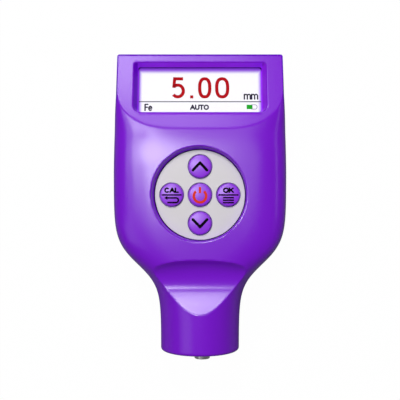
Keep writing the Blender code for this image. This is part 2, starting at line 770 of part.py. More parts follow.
def rear_shell(material):
    shell = body_form("rear_shell")
    high = AXIS_Z - PARTING_GAP / 2
    size = BODY_LENGTH
    combine(shell, box((-size, -size, high), (size, size, size)))
    combine(shell, rear_cavity())
    groove_low = AXIS_Z + PARTING_GAP / 2 - LIP_HEIGHT - CLEARANCE
    outer, inner = LIP_FROM_OUTSIDE - CLEARANCE, WALL + CLEARANCE
    combine(shell, rim("groove", outer, inner, groove_low, high + BEYOND))

    half = BAY_WIDTH / 2
    combine(shell, box((-half, BAY_LOW_Y, -BEYOND), (half, BAY_HIGH_Y, BAY_ROOF_Z)))
    half = DOOR_WIDTH / 2 + CLEARANCE
    low_y, high_y = DOOR_LOW_Y - CLEARANCE, DOOR_HIGH_Y + CLEARANCE
    opening_top = DOOR_RECESS + DOOR_THICKNESS + CLEARANCE
    combine(shell, box((-half, low_y, -BEYOND), (half, high_y, opening_top)))
    half = TAB_WIDTH / 2 + CLEARANCE
    slot_low, slot_high = low_y - TAB_REACH - 2 * CLEARANCE, BAY_LOW_Y + CLEARANCE
    for x in (-TAB_X, TAB_X):
        slot_top = WALL + 3 * TAB_THICKNESS
        combine(shell, box((x - half, slot_low, WALL), (x + half, slot_high, slot_top)))
    head_hole = SCREW_HEAD_DIAMETER / 2 + CLEARANCE
    head_end = CASE_SCREW_SINK + SCREW_HEAD + CLEARANCE
    cut_holes(shell, case_screw_places(), head_hole, -BEYOND, head_end)
    cut_holes(shell, case_screw_places(), HOLE_DIAMETER / 2, 0, size)
    cut_probe_channel(shell)
    return painted(shell, material)


# Display


def display_pieces(paint):
    tilted = bpy.data.objects.new("display_axis", None)
    tilted.matrix_world = on_facet()
    bpy.context.scene.collection.objects.link(tilted)
    bpy.context.view_layer.update()
    half_x, half_y = LENS_WIDTH / 2, LENS_HEIGHT / 2
    layers = (
        ("display_window", LENS_TOP, LENS_THICKNESS, paint["window"]),
        ("lcd_panel", PANEL_TOP, PANEL_THICKNESS, paint["panel"]),
        ("lcd_backlight", BACKLIGHT_TOP, BACKLIGHT_THICKNESS, paint["white plastic"]),
    )
    for name, top, thickness, material in layers:
        sheet = box((-half_x, -half_y, -top - thickness), (half_x, half_y, -top))
        finish_mesh(name, soften(sheet, SMALL_CHAMFER, 1), material, tilted)

    lcd_frame(paint["white plastic"])
    lcd_flex(paint["flex"])


def lcd_frame(material):
    """The holder that stands on the board and carries window, panel and backlight."""
    low_z = BOARD_TOP + CLEARANCE
    pocket_x, pocket_y = LENS_WIDTH / 2 + CLEARANCE, LENS_HEIGHT / 2 + CLEARANCE
    corners = [
        on_facet(depth) @ Vector((0, side * pocket_y, 0))
        for depth in (LENS_TOP, STACK_BOTTOM)
        for side in (-1, 1)
    ]
    low_y = min(corner.y for corner in corners) - LCD_FRAME_END
    high_y = max(corner.y for corner in corners) + LCD_FRAME_END
    half = LCD_FRAME_WIDTH / 2
    frame = finish_mesh("lcd_frame", box((-half, low_y, low_z), (half, high_y, BODY_DEPTH)))
    combine(frame, facet_cutter(LENS_TOP))
    pocket = box((-pocket_x, -pocket_y, -STACK_BOTTOM), (pocket_x, pocket_y, BEYOND))
    combine(frame, moved(pocket, on_facet()))
    hole_x, hole_y = LCD_FRAME_HOLE_WIDTH / 2, LCD_FRAME_HOLE_HEIGHT / 2
    low, high = DISPLAY_Y - hole_y, DISPLAY_Y + hole_y
    combine(frame, box((-hole_x, low, 0), (hole_x, high, BODY_DEPTH)))
    start = flex_start()
    slot_x = FLEX_WIDTH / 2 + CLEARANCE
    slot_low = (-slot_x, low_y - BEYOND, start.z - 3 * CLEARANCE)
    combine(frame, box(slot_low, (slot_x, start.y + CLEARANCE, BODY_DEPTH)))
    painted(frame, material)


def flex_start():
    """Where the film leaves the display panel's lower edge."""
    middle = PANEL_TOP + PANEL_THICKNESS / 2
    return on_facet(middle) @ Vector((0, -LENS_HEIGHT / 2 - CLEARANCE, 0))


def lcd_flex(material):
    start = flex_start()
    board_z = BOARD_TOP + CLEARANCE
    turn_y = start.y - FLEX_REACH - FLEX_TURN
    route = [
        (start.y, start.z),
        (start.y - FLEX_REACH, start.z),
        (turn_y, start.z - FLEX_TURN),
        (turn_y, board_z + FLEX_TURN),
        (turn_y - FLEX_TURN, board_z),
        (turn_y - FLEX_TURN - FLEX_TAIL, board_z),
    ]
    side = FLEX_WIDTH / 2
    outline = thickened(route, FLEX_THICKNESS)
    finish_mesh("lcd_flex", loft([[(x, y, z) for y, z in outline] for x in (-side, side)]), material)


# Keypad, switches and board


def keypad_pieces(paint):
    half_thickness = PLATE_THICKNESS / 2
    disc = cylinder(PLATE_DIAMETER / 2, -half_thickness, half_thickness, PLATE_STEPS)
    middle_z = PLATE_TOP - half_thickness
    plate = finish_mesh("keypad_plate", moved(disc, at(0, KEYPAD_Y, middle_z)))
    for x, y in KEY_PLACES.values():
        hole = cylinder(KEY_DIAMETER / 2 + CLEARANCE, 0, BODY_DEPTH, KEY_STEPS)
        combine(plate, moved(hole, at(x, KEYPAD_Y + y)))
    painted(plate, paint["plate"])

    radius, stem = KEY_DIAMETER / 2, KEY_STEM_DIAMETER / 2
    key_top = PLATE_TOP + KEY_STAND
    edge_top = key_top - KEY_DOME
    profile = [
        (0, STEM_BOTTOM),
        (stem, STEM_BOTTOM),
        (stem, FLANGE_BOTTOM),
        (radius + KEY_FLANGE, FLANGE_BOTTOM),
        (radius + KEY_FLANGE, FLANGE_TOP),
        (radius, FLANGE_TOP),
        *rounded_edge(radius, edge_top, KEY_ROUNDING),
        ((radius - KEY_ROUNDING) / 2, key_top - KEY_DOME / 4),
        (0, key_top),
    ]
    for name, (x, y) in KEY_PLACES.items():
        key = finish_mesh("key_" + name, revolve(profile, KEY_STEPS), paint["key"])
        key.location = (x, KEYPAD_Y + y, 0)


def switch_pieces(paint):
    half = SWITCH_SIDE / 2
    low = BOARD_TOP + CLEARANCE
    plunger_low = SWITCH_TOP - PLUNGER_SINK
    for name, (x, y) in KEY_PLACES.items():
        block = soften(box((-half, -half, low), (half, half, SWITCH_TOP)), SMALL_CHAMFER, 1)
        body = finish_mesh("switch_" + name, block)
        well = PLUNGER_DIAMETER / 2 + CLEARANCE
        floor = plunger_low - KEY_TRAVEL - CLEARANCE
        combine(body, cylinder(well, floor, SWITCH_TOP + CLEARANCE, SMALL_ROUND_STEPS))
        painted(body, paint["black plastic"])
        body.location = (x, KEYPAD_Y + y, 0)
        button = cylinder(PLUNGER_DIAMETER / 2, plunger_low, PLUNGER_TOP, SMALL_ROUND_STEPS)
        plunger = finish_mesh("plunger_" + name, button, paint["white plastic"])
        plunger.location = (x, KEYPAD_Y + y, 0)


def board_pieces(paint):
    narrow, wide = board_half_width(), LCD_FRAME_WIDTH / 2
    step_y = BOARD_HIGH_Y - BOARD_HEAD_LENGTH
    right = [
        (narrow - BOARD_CORNER, BOARD_LOW_Y),
        (narrow, BOARD_LOW_Y + BOARD_CORNER),
        (narrow, step_y),
        (wide, step_y),
        (wide, BOARD_HIGH_Y - BOARD_CORNER),
        (wide - BOARD_CORNER, BOARD_HIGH_Y),
    ]
    outline = right + [(-x, y) for x, y in reversed(right)]
    layers = [[(x, y, z) for x, y in outline] for z in (BOARD_Z, BOARD_TOP)]
    board = finish_mesh("main_board", loft(layers))
    cut_holes(board, board_screw_places(), HOLE_DIAMETER / 2, 0, BODY_DEPTH)
    painted(board, paint["board"])

    half = CHIP_SIDE / 2
    chip_y = KEYPAD_Y + KEY_PITCH + SWITCH_SIDE / 2 + 3 * CLEARANCE + half
    low = BOARD_TOP + CLEARANCE
    chip = box((-half, chip_y - half, low), (half, chip_y + half, low + CHIP_THICKNESS))
    finish_mesh("controller_chip", soften(chip, SMALL_CHAMFER, 1), paint["black plastic"])

    half = PLUG_WIDTH / 2
    y = BOARD_LOW_Y + 2 * CLEARANCE
    plug_high = (PROBE_OFFSET + half, y + PLUG_LENGTH, low + PLUG_HEIGHT)
    plug = box((PROBE_OFFSET - half, y, low), plug_high)
    finish_mesh("probe_connector", soften(plug, SMALL_CHAMFER, 1), paint["white plastic"])


# Probe


def probe_pieces(paint):
    tip_r, pole_r = TIP_DIAMETER / 2, POLE_DIAMETER / 2
    tip = [
        (0, 0),
        *rounded_edge(tip_r, 0, TIP_ROUNDING, sign=-1)[::-1],
        (tip_r, TIP_LENGTH),
        (pole_r, TIP_LENGTH),
        (pole_r, TIP_LENGTH + POLE_LENGTH),
        (0, TIP_LENGTH + POLE_LENGTH),
    ]
    finish_mesh("probe_tip", moved(revolve(tip), along_neck(TIP_Y)), paint["steel"])

    bore = tip_r + CLEARANCE
    spigot = GUIDE_BORE_RADIUS - CLEARANCE
    flange_low = BUSH_FLANGE_Y - NECK_Y
    flange_high = flange_low + BUSH_FLANGE_THICKNESS
    bush_end = TIP_BACK_Y - NECK_Y
    bush = [
        (bore, 0),
        (BUSH_DIAMETER / 2, 0),
        (BUSH_DIAMETER / 2, flange_low),
        (BUSH_FLANGE_DIAMETER / 2, flange_low),
        (BUSH_FLANGE_DIAMETER / 2, flange_high),
        (spigot, flange_high),
        (spigot, bush_end),
        (bore, bush_end),
    ]
    turned = moved(revolve(bush, closed=True), along_neck(NECK_Y))
    finish_mesh("probe_bush", turned, paint["black plastic"])

    outer = BARREL_DIAMETER / 2
    inner = outer - BARREL_WALL
    pole_hole = pole_r + CLEARANCE
    barrel = [
        (pole_hole, 0),
        (outer, 0),
        (outer, BARREL_LENGTH),
        (inner, BARREL_LENGTH),
        (inner, BARREL_FRONT),
        (pole_hole, BARREL_FRONT),
    ]
    turned = moved(revolve(barrel, closed=True), along_neck(BARREL_Y))
    finish_mesh("probe_barrel", turned, paint["steel"])

    coil_low = BARREL_Y + BARREL_FRONT + CLEARANCE
    winding = tube(pole_hole, inner - CLEARANCE, 0, COIL_LENGTH)
    finish_mesh("probe_coil", moved(winding, along_neck(coil_low)), paint["copper"])

    length = GUIDE_BACK_Y - GUIDE_Y
    middle = GUIDE_FLANGE_Y - GUIDE_Y
    half_flange = GUIDE_FLANGE_THICKNESS / 2
    lead_hole = LEAD_DIAMETER / 2 + CLEARANCE
    guide = [
        (GUIDE_BORE_RADIUS, 0),
        (GUIDE_RADIUS, 0),
        (GUIDE_RADIUS, middle - half_flange),
        (GUIDE_RADIUS + GUIDE_FLANGE, middle - half_flange),
        (GUIDE_RADIUS + GUIDE_FLANGE, middle + half_flange),
        (GUIDE_RADIUS, middle + half_flange),
        (GUIDE_RADIUS, length + GUIDE_WALL),
        (lead_hole, length + GUIDE_WALL),
        (lead_hole, length),
        (GUIDE_BORE_RADIUS, length),
    ]
    turned = moved(revolve(guide, closed=True), along_neck(GUIDE_Y))
    finish_mesh("probe_guide", turned, paint["black plastic"])

    mean = outer - PROBE_WIRE / 2
    run = PROBE_SPRING_LENGTH - PROBE_WIRE
    points = []
    count = int(SPRING_STEPS * PROBE_SPRING_TURNS) + 1
    for step in range(count):
        part = step / (count - 1)
        angle = 2 * math.pi * PROBE_SPRING_TURNS * part
        points.append(
            (
                PROBE_OFFSET + mean * math.cos(angle),
                SPRING_Y + PROBE_WIRE / 2 + run * part,
                AXIS_Z + mean * math.sin(angle),
            )
        )
    wire("probe_spring", points, PROBE_WIRE, paint["spring steel"])

    start_y = coil_low + COIL_LENGTH + CLEARANCE
    start_y = max(start_y, TIP_BACK_Y + POLE_LENGTH + CLEARANCE)
    end_y = BOARD_LOW_Y + CLEARANCE
    end_z = BOARD_TOP + CLEARANCE + PLUG_HEIGHT / 2
    turn_y = GUIDE_BACK_Y + GUIDE_WALL
    lead = [(PROBE_OFFSET, start_y, AXIS_Z)]
    steps = 10
    for step in range(steps + 1):
        part = step / steps
        ease = part * part * (3 - 2 * part)
        y = turn_y + (end_y - turn_y) * part
        lead.append((PROBE_OFFSET, y, AXIS_Z + (end_z - AXIS_Z) * ease))
    wire("probe_lead", lead, LEAD_DIAMETER, paint["black plastic"])


# Batteries and door


def battery_pieces(paint):
    radius, nub = CELL_DIAMETER / 2, CELL_NUB_DIAMETER / 2
    profile = [
        (0, 0),
        (radius - CELL_RIM, 0),
        (radius, CELL_RIM),
        (radius, CELL_LENGTH - CELL_NUB_LENGTH - CELL_RIM),
        (radius - CELL_RIM, CELL_LENGTH - CELL_NUB_LENGTH),
        (nub, CELL_LENGTH - CELL_NUB_LENGTH),
        (nub, CELL_LENGTH),
        (0, CELL_LENGTH),
    ]
    far_contact = BAY_HIGH_Y - CLEARANCE - CONTACT_THICKNESS
    near_contact = BAY_LOW_Y + CLEARANCE
    near_end = near_contact + CONTACT_THICKNESS + CLEARANCE
    far_end = far_contact - CLEARANCE
    side = CELL_SPACING / 2
    for name, x, y, turn in (
        ("battery_1", -side, far_end - CELL_LENGTH, -90),
        ("battery_2", side, near_end + CELL_LENGTH, 90),
    ):
        place = at(x, y, CELL_Z) @ Matrix.Rotation(math.radians(turn), 4, "X")
        finish_mesh(name, moved(revolve(profile), place), paint["cell"])

    half, tall = CONTACT_WIDTH / 2, CONTACT_HEIGHT / 2
    for name, low_x, high_x, y in (
        ("contact_negative", -side - half, -side + half, near_contact),
        ("contact_positive", side - half, side + half, near_contact),
        ("contact_bridge", -side - half, side + half, far_contact),
    ):
        high = (high_x, y + CONTACT_THICKNESS, CELL_Z + tall)
        finish_mesh(name, box((low_x, y, CELL_Z - tall), high), paint["steel"])

    turns = CONTACT_SPRING_TURNS
    for name, x, y, sign in (
        ("contact_spring_1", -side, near_end, 1),
        ("contact_spring_2", side, far_end, -1),
    ):
        points = []
        for step in range(turns * SPRING_STEPS + 1):
            part = step / (turns * SPRING_STEPS)
            angle = 2 * math.pi * turns * part
            mean = CONTACT_SPRING_DIAMETER / 2 * (1 - CONTACT_SPRING_TAPER * part)
            rise = CONTACT_WIRE / 2 + (CONTACT_SPRING_LENGTH - CONTACT_WIRE - CLEARANCE) * part
            spot = (x + mean * math.cos(angle), y + sign * rise, CELL_Z + mean * math.sin(angle))
            points.append(spot)
        wire(name, points, CONTACT_WIRE, paint["spring steel"])


def battery_door(material):
    """Flat door with two tabs at its lower end, on which it swings, and a thumb dip."""
    top = DOOR_RECESS + DOOR_THICKNESS
    length = DOOR_HIGH_Y - DOOR_LOW_Y
    middle = (DOOR_HIGH_Y + DOOR_LOW_Y) / 2
    outline = rounded_outline(DOOR_WIDTH, length, CLEARANCE, CLEARANCE, 2)
    layers = [[(x, middle + y, z) for x, y in outline] for z in (DOOR_RECESS, top)]
    door = finish_mesh("battery_door", loft(layers))
    tab_low = WALL + CLEARANCE
    tab_high = tab_low + TAB_THICKNESS
    web_y = DOOR_LOW_Y + TAB_THICKNESS
    reach_y = DOOR_LOW_Y - TAB_REACH
    for x in (-TAB_X, TAB_X):
        near, far = x - TAB_WIDTH / 2, x + TAB_WIDTH / 2
        web = box((near, DOOR_LOW_Y, top - CLEARANCE), (far, web_y, tab_high))
        combine(door, web, "UNION")
        tab = box((near, reach_y, tab_low), (far, web_y - CLEARANCE, tab_high))
        combine(door, tab, "UNION")
    ball = bmesh.new()
    bmesh.ops.create_uvsphere(ball, u_segments=20, v_segments=12, radius=THUMB_RADIUS)
    dip_z = DOOR_RECESS + THUMB_DEPTH - THUMB_RADIUS
    combine(door, moved(ball, at(0, DOOR_HIGH_Y - THUMB_FROM_END, dip_z)))
    return painted(door, material)


# Screws


def screw(name, x, y, z, length, material):
    """A pan-headed screw driven upwards, the top of its thread length above z."""
    head, shank = SCREW_HEAD_DIAMETER / 2, SCREW_DIAMETER / 2
    profile = [
        (0, 0),
        *rounded_edge(head, 0, SCREW_HEAD_ROUNDING, sign=-1, steps=1)[::-1],
        (head, SCREW_HEAD),
        (shank, SCREW_HEAD),
        (shank, SCREW_HEAD + length - SCREW_POINT),
        (0, SCREW_HEAD + length),
    ]
    made = finish_mesh(name, revolve(profile, SMALL_ROUND_STEPS), material)
    made.location = (x, y, z)


def screws(material):
    for index, (x, y) in enumerate(case_screw_places(), 1):
        screw(f"case_screw_{index}", x, y, CASE_SCREW_SINK, CASE_SCREW_LENGTH, material)
    low = BOARD_Z - CLEARANCE - SCREW_HEAD
    for index, (x, y) in enumerate(board_screw_places(), 1):
        screw(f"board_screw_{index}", x, y, low, BOARD_SCREW_LENGTH, material)


def main():
    clear_scene()
    paint = {
        "housing": make_material("violet_housing", (0.19, 0.012, 0.62), 0.38),
        "window": make_material("clear_window", (0.95, 0.95, 0.96), 0.05, alpha=0.3),
        "panel": make_material("white_display", (0.92, 0.92, 0.93), 0.35),
        "white plastic": make_material("white_plastic", (0.82, 0.82, 0.80), 0.5),
        "black plastic": make_material("black_plastic", (0.02, 0.02, 0.022), 0.5),
        "flex": make_material("flex_film", (0.55, 0.28, 0.05), 0.4),
        "plate": make_material("silver_plate", (0.74, 0.72, 0.73), 0.45),
        "key": make_material("violet_key", (0.30, 0.08, 0.72), 0.4),
        "board": make_material("green_board", (0.02, 0.16, 0.06), 0.45),
        "steel": make_material("bright_steel", (0.70, 0.70, 0.70), 0.2, 1.0),
        "spring steel": make_material("spring_steel", (0.55, 0.55, 0.56), 0.3, 1.0),
        "copper": make_material("copper_winding", (0.72, 0.30, 0.12), 0.35, 1.0),
        "cell": make_material("cell_jacket", (0.10, 0.10, 0.11), 0.4),
    }
    front_shell(paint["housing"])
    rear_shell(paint["housing"])
    battery_door(paint["housing"])
    display_pieces(paint)
    keypad_pieces(paint)
    switch_pieces(paint)
    board_pieces(paint)
    probe_pieces(paint)
    battery_pieces(paint)
    screws(paint["spring steel"])
    bpy.context.view_layer.update()


main()
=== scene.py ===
import math

import bmesh
import bpy
import numpy as np
from mathutils import Matrix, Vector


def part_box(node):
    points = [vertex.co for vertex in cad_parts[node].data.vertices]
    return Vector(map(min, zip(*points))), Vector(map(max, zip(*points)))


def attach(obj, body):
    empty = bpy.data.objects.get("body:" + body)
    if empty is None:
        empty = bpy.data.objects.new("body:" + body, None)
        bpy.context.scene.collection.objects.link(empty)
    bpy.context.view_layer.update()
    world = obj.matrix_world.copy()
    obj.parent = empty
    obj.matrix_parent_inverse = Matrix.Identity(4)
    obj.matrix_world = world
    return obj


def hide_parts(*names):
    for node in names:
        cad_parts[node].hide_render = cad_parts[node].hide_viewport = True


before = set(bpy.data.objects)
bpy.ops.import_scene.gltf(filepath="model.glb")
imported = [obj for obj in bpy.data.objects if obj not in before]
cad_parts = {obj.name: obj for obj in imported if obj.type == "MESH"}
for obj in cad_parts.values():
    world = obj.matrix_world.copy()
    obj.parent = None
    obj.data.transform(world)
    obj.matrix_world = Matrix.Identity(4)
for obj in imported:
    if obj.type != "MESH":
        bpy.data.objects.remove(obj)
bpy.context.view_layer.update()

mm = 0.001               # shapes below are worked out in millimetres
print("frame loaded:", len(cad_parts), "nodes")

# Shapes


def cornersOf(node):
    # lowest and highest corner of a node, in millimetres
    low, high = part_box(node)
    return np.array(low) / mm, np.array(high) / mm


def linked(name, data):
    # an object with this data, put in the scene
    made = bpy.data.objects.new(name, data)
    bpy.context.scene.collection.objects.link(made)
    return made


def gridFaces(rows, columns, first=0, aroundRows=False, aroundColumns=False):
    # four-sided faces between neighbours of a grid numbered row by row
    row = np.arange(rows if aroundRows else rows - 1)
    column = np.arange(columns if aroundColumns else columns - 1)
    row, column = (part.ravel() for part in np.meshgrid(row, column, indexing="ij"))
    nextRow, nextColumn = (row + 1) % rows, (column + 1) % columns
    corners = (row, column), (nextRow, column), (nextRow, nextColumn), (row, nextColumn)
    return np.stack([first + r * columns + c for r, c in corners], axis=1)


def ringFaces(ring, other):
    # four-sided faces between two closed rings of as many points
    after = np.roll(np.arange(len(ring)), -1)
    return np.stack([ring, ring[after], other[after], other], axis=1).tolist()


def smoothed(data, smoothUnder):
    # smooth shading, but sharp where faces meet at more than this angle in degrees
    data.shade_smooth()
    data.set_sharp_from_angle(angle=math.radians(smoothUnder))
    return data


def meshObject(name, points, faces, smoothUnder=35):
    # points in millimetres; doubles are merged, and faces are turned outwards
    data = bpy.data.meshes.new(name)
    data.from_pydata((np.asarray(points) * mm).tolist(), [], [list(map(int, f)) for f in faces])
    made = bmesh.new()
    made.from_mesh(data)
    bmesh.ops.remove_doubles(made, verts=made.verts, dist=1e-7)
    bmesh.ops.recalc_face_normals(made, faces=made.faces)
    made.to_mesh(data)
    made.free()
    return linked(name, smoothed(data, smoothUnder))


def loftPoints(rings):
    # rings of as many points each, one after the other, with both ends capped
    rings = np.asarray(rings)
    rows, columns = rings.shape[:2]
    faces = gridFaces(rows, columns, aroundColumns=True).tolist()
    faces += [list(range(columns)), list(range((rows - 1) * columns, rows * columns))]
    return rings.reshape(-1, 3), faces


def turnedPoints(profile, steps=96, closed=False):
    # profile of (radius, height) carried round Z; a closed profile makes a ring
    profile = np.asarray(profile, float)
    turn = np.arange(steps) * 2 * np.pi / steps
    x = profile[:, :1] * np.cos(turn)
    y = profile[:, :1] * np.sin(turn)
    z = np.repeat(profile[:, 1:], steps, axis=1)
    faces = gridFaces(len(profile), steps, aroundRows=closed, aroundColumns=True)
    return np.stack([x, y, z], axis=2).reshape(-1, 3), faces.tolist()


def arc(centreR, centreZ, radius, start, end, steps=6):
    # points of a circle in a profile, angles in degrees from +R towards +Z
    angle = np.radians(np.linspace(start, end, steps))
    return np.stack([centreR + radius * np.cos(angle), centreZ + radius * np.sin(angle)], axis=1)


def roundedRing(halfX, halfY, lowRadius, highRadius, steps=12):
    # a rectangle's outline with its corners rounded: quarter circles joined by straight sides
    turn = np.radians(np.linspace(0, 90, steps))
    parts = []
    for quarter, (sideX, sideY, radius) in enumerate(
        [(1, 1, highRadius), (-1, 1, highRadius), (-1, -1, lowRadius), (1, -1, lowRadius)]
    ):
        angle = turn + quarter * math.pi / 2
        x = sideX * (halfX - radius) + radius * np.cos(angle)
        y = sideY * (halfY - radius) + radius * np.sin(angle)
        parts.append(np.stack([x, y], axis=1))
    return np.concatenate(parts)


def moved(points, matrix):
    # points through a matrix whose shift is in millimetres
    matrix = np.array(matrix)
    return np.asarray(points) @ matrix[:3, :3].T + matrix[:3, 3]


def boxPoints(low, high):
    # a box between its lowest and its highest corner
    ring = [(low[0], low[1]), (high[0], low[1]), (high[0], high[1]), (low[0], high[1])]
    return loftPoints([[(x, y, z) for x, y in ring] for z in (low[2], high[2])])


def together(shapes):
    # several (points, faces) as one
    points, faces, count = [], [], 0
    for somePoints, someFaces in shapes:
        points.append(np.asarray(somePoints))
        faces += [[index + count for index in face] for face in someFaces]
        count += len(somePoints)
    return np.concatenate(points), faces


def cut(piece, shapes, operation="DIFFERENCE", smoothUnder=35):
    # one Boolean with all the given shapes, applied
    tool = meshObject("tool", *together(shapes))
    modifier = piece.modifiers.new("cut", "BOOLEAN")
    modifier.operation = operation
    modifier.solver = "EXACT"
    modifier.object = tool
    result = bpy.data.meshes.new_from_object(piece.evaluated_get(bpy.context.evaluated_depsgraph_get()))
    piece.modifiers.clear()
    piece.data = smoothed(result, smoothUnder)
    bpy.data.objects.remove(tool)
    return piece


def paintOnly(piece, paint):
    piece.data.materials.clear()
    piece.data.materials.append(paint.material)


def dress(piece, paint, body, slot, *nodes):
    # finish and body of a piece, and the nodes that it stands for, hidden; slot is not used
    paintOnly(piece, paint)
    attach(piece, body)
    if nodes:
        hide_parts(*nodes)
    return piece


# Finishes


class Signal:
    # a node's output in a sum: each operator adds its Math node
    def __init__(self, paint, socket):
        self.paint, self.socket = paint, socket

    def sum(self, operation, *values):
        return self.paint.node("ShaderNodeMath", {"operation": operation}, dict(enumerate(values)))

    def __add__(self, other):
        return self.sum("ADD", self, other)

    def __sub__(self, other):
        return self.sum("SUBTRACT", self, other)

    def __rsub__(self, other):
        return self.sum("SUBTRACT", other, self)

    def __mul__(self, other):
        return self.sum("MULTIPLY", self, other)

    def __abs__(self):
        return self.sum("ABSOLUTE", self)

    def __gt__(self, other):
        return self.sum("GREATER_THAN", self, other)

    def __lt__(self, other):
        return self.sum("LESS_THAN", self, other)

    __radd__, __rmul__ = __add__, __mul__

    def most(self, other):
        return self.sum("MAXIMUM", self, other)

    def ramp(self, low, high):
        # 0 under low, 1 over high and smooth between
        span = {"interpolation_type": "SMOOTHSTEP"}
        return self.paint.node("ShaderNodeMapRange", span, {0: self, 1: low, 2: high, 3: 0.0, 4: 1.0})


class Paint:
    # a material and its Principled shader
    emitter = "ShaderNodeEmission"

    def __init__(self, name, colour, roughness, metallic=0.0, **fixed):
        self.material = bpy.data.materials.new(name)
        self.material.use_nodes = True
        self.tree = self.material.node_tree
        self.shader, self.end = self.tree.nodes["Principled BSDF"], self.tree.nodes["Material Output"]
        fixed = {key.replace("_", " "): value for key, value in fixed.items()}
        self.feed({"Base Color": colour, "Roughness": roughness, "Metallic": metallic, **fixed})

    def feed(self, values, node=None):
        for key, value in values.items():
            socket = (node or self.shader).inputs[key]
            if isinstance(value, Signal):
                self.tree.links.new(value.socket, socket)
            elif socket.type == "RGBA" and len(value) == 3:
                socket.default_value = (*value, 1)
            else:
                socket.default_value = value
        return self

    def node(self, kind, settings=None, sockets=None, output=0):
        made = self.tree.nodes.new(kind)
        for key, value in (settings or {}).items():
            setattr(made, key, value)
        self.feed(sockets or {}, made)
        return Signal(self, made.outputs[output])

    def place(self, axis=None):
        # Object coordinates in millimetres, or one of them
        spot = self.node("ShaderNodeTexCoord", output=3)
        spot = self.node("ShaderNodeVectorMath", {"operation": "SCALE"}, {0: spot, "Scale": 1 / mm})
        return spot if axis is None else self.node("ShaderNodeSeparateXYZ", None, {0: spot}, axis)

    def noise(self, size, detail=2.0, rough=0.5, stretch=(1, 1, 1)):
        # value noise about 0.5 whose lumps are this many millimetres wide
        spot = self.node("ShaderNodeVectorMath", {"operation": "MULTIPLY"}, {0: self.place(), 1: stretch})
        sockets = {"Vector": spot, "Scale": 1 / size, "Detail": detail, "Roughness": rough}
        return self.node("ShaderNodeTexNoise", None, sockets)

    def mix(self, share, first, second):
        # the first colour at share 0, the second at 1
        return self.node("ShaderNodeMix", {"data_type": "RGBA"}, {0: share, 6: first, 7: second}, 2)

    def bump(self, height, depth):
        # height runs 0 to 1 over this depth in millimetres
        sockets = {"Height": height, "Distance": depth * mm, "Strength": 1.0}
        return self.feed({"Normal": self.node("ShaderNodeBump", None, sockets)})


class Sky(Paint):
    # the world's nodes, made the same way
    emitter = "ShaderNodeBackground"

    def __init__(self, world):
        self.tree = world.node_tree
        self.shader, self.end = self.tree.nodes["Background"], self.tree.nodes["World Output"]
        self.feed({"Color": (1, 1, 1), "Strength": studio["world"]})


def rgb(*parts):
    # a colour given as it shows, 0 to 255, turned linear
    return tuple(v / 12.92 if v < 0.04045 else ((v + 0.055) / 1.055) ** 2.4 for v in np.array(parts) / 255)


violet = {
    "base": (0.170, 0.0045, 0.560),
    "lighter": (0.178, 0.0056, 0.582),
    # painted light and shade on the walls: the recess's top and right walls and the pocket's wall lighter
    # than the housing, the recess's left wall darker
    "recessTopLit": (0.340, 0.0180, 0.980),
    "recessLeftShaded": (0.140, 0.0010, 0.570),
    "recessRightLit": (0.230, 0.0120, 0.640),
    "pocketWallLit": (0.280, 0.0010, 0.950),
    "foot": (0.030, 0.0005, 0.160),     # painted shade where those walls meet the floor
    "rim": (0.105, 0.0005, 0.470),      # painted shade along the head's outer edge
    "dull": 0.42,                       # roughness under the gloss
    "gloss": 0.20,                      # roughness of the gloss
    "sheen": (1.0, 0.30, 0.90),         # tint of the wide glow round a highlight
    "faceGloss": 0.34,                  # share of the gloss on the sloping face
    "grain": 0.30,                      # width of the moulded grain
    "grainDepth": 0.0016,
    "flow": 22.0,                       # width of the faint flow clouds
    "recessSpare": (1.1, 1.0),          # how far the walls' painted light and shade reach past the recess
    "wallFrom": 22.0,                   # the recess's side walls, from the middle
    "pocketReach": 17.35,               # radius and height of the pocket walls' painted lighter colour, and the height of their painted foot shade
    "pocketTop": 27.75, "pocketFoot": 26.0,
    "edgeShadeFrom": 36.0,                    # the painted edge shade starts here along Y
    "edgeShadeLine": (38.0, 53.0),            # and runs straight between its places at these two
    "edgeShadeWidth": (-0.80, -0.50),
    "ledge": 9.85,                      # bare line below the recess, down the sloping face
    "ledgeHalf": (21.8, 0.32),          # half its length and width
    "dimSideTop": 23.4, "dimSideEnd": 40.0,     # the sides under here have less gloss
    "dimSide": 0.7,
}


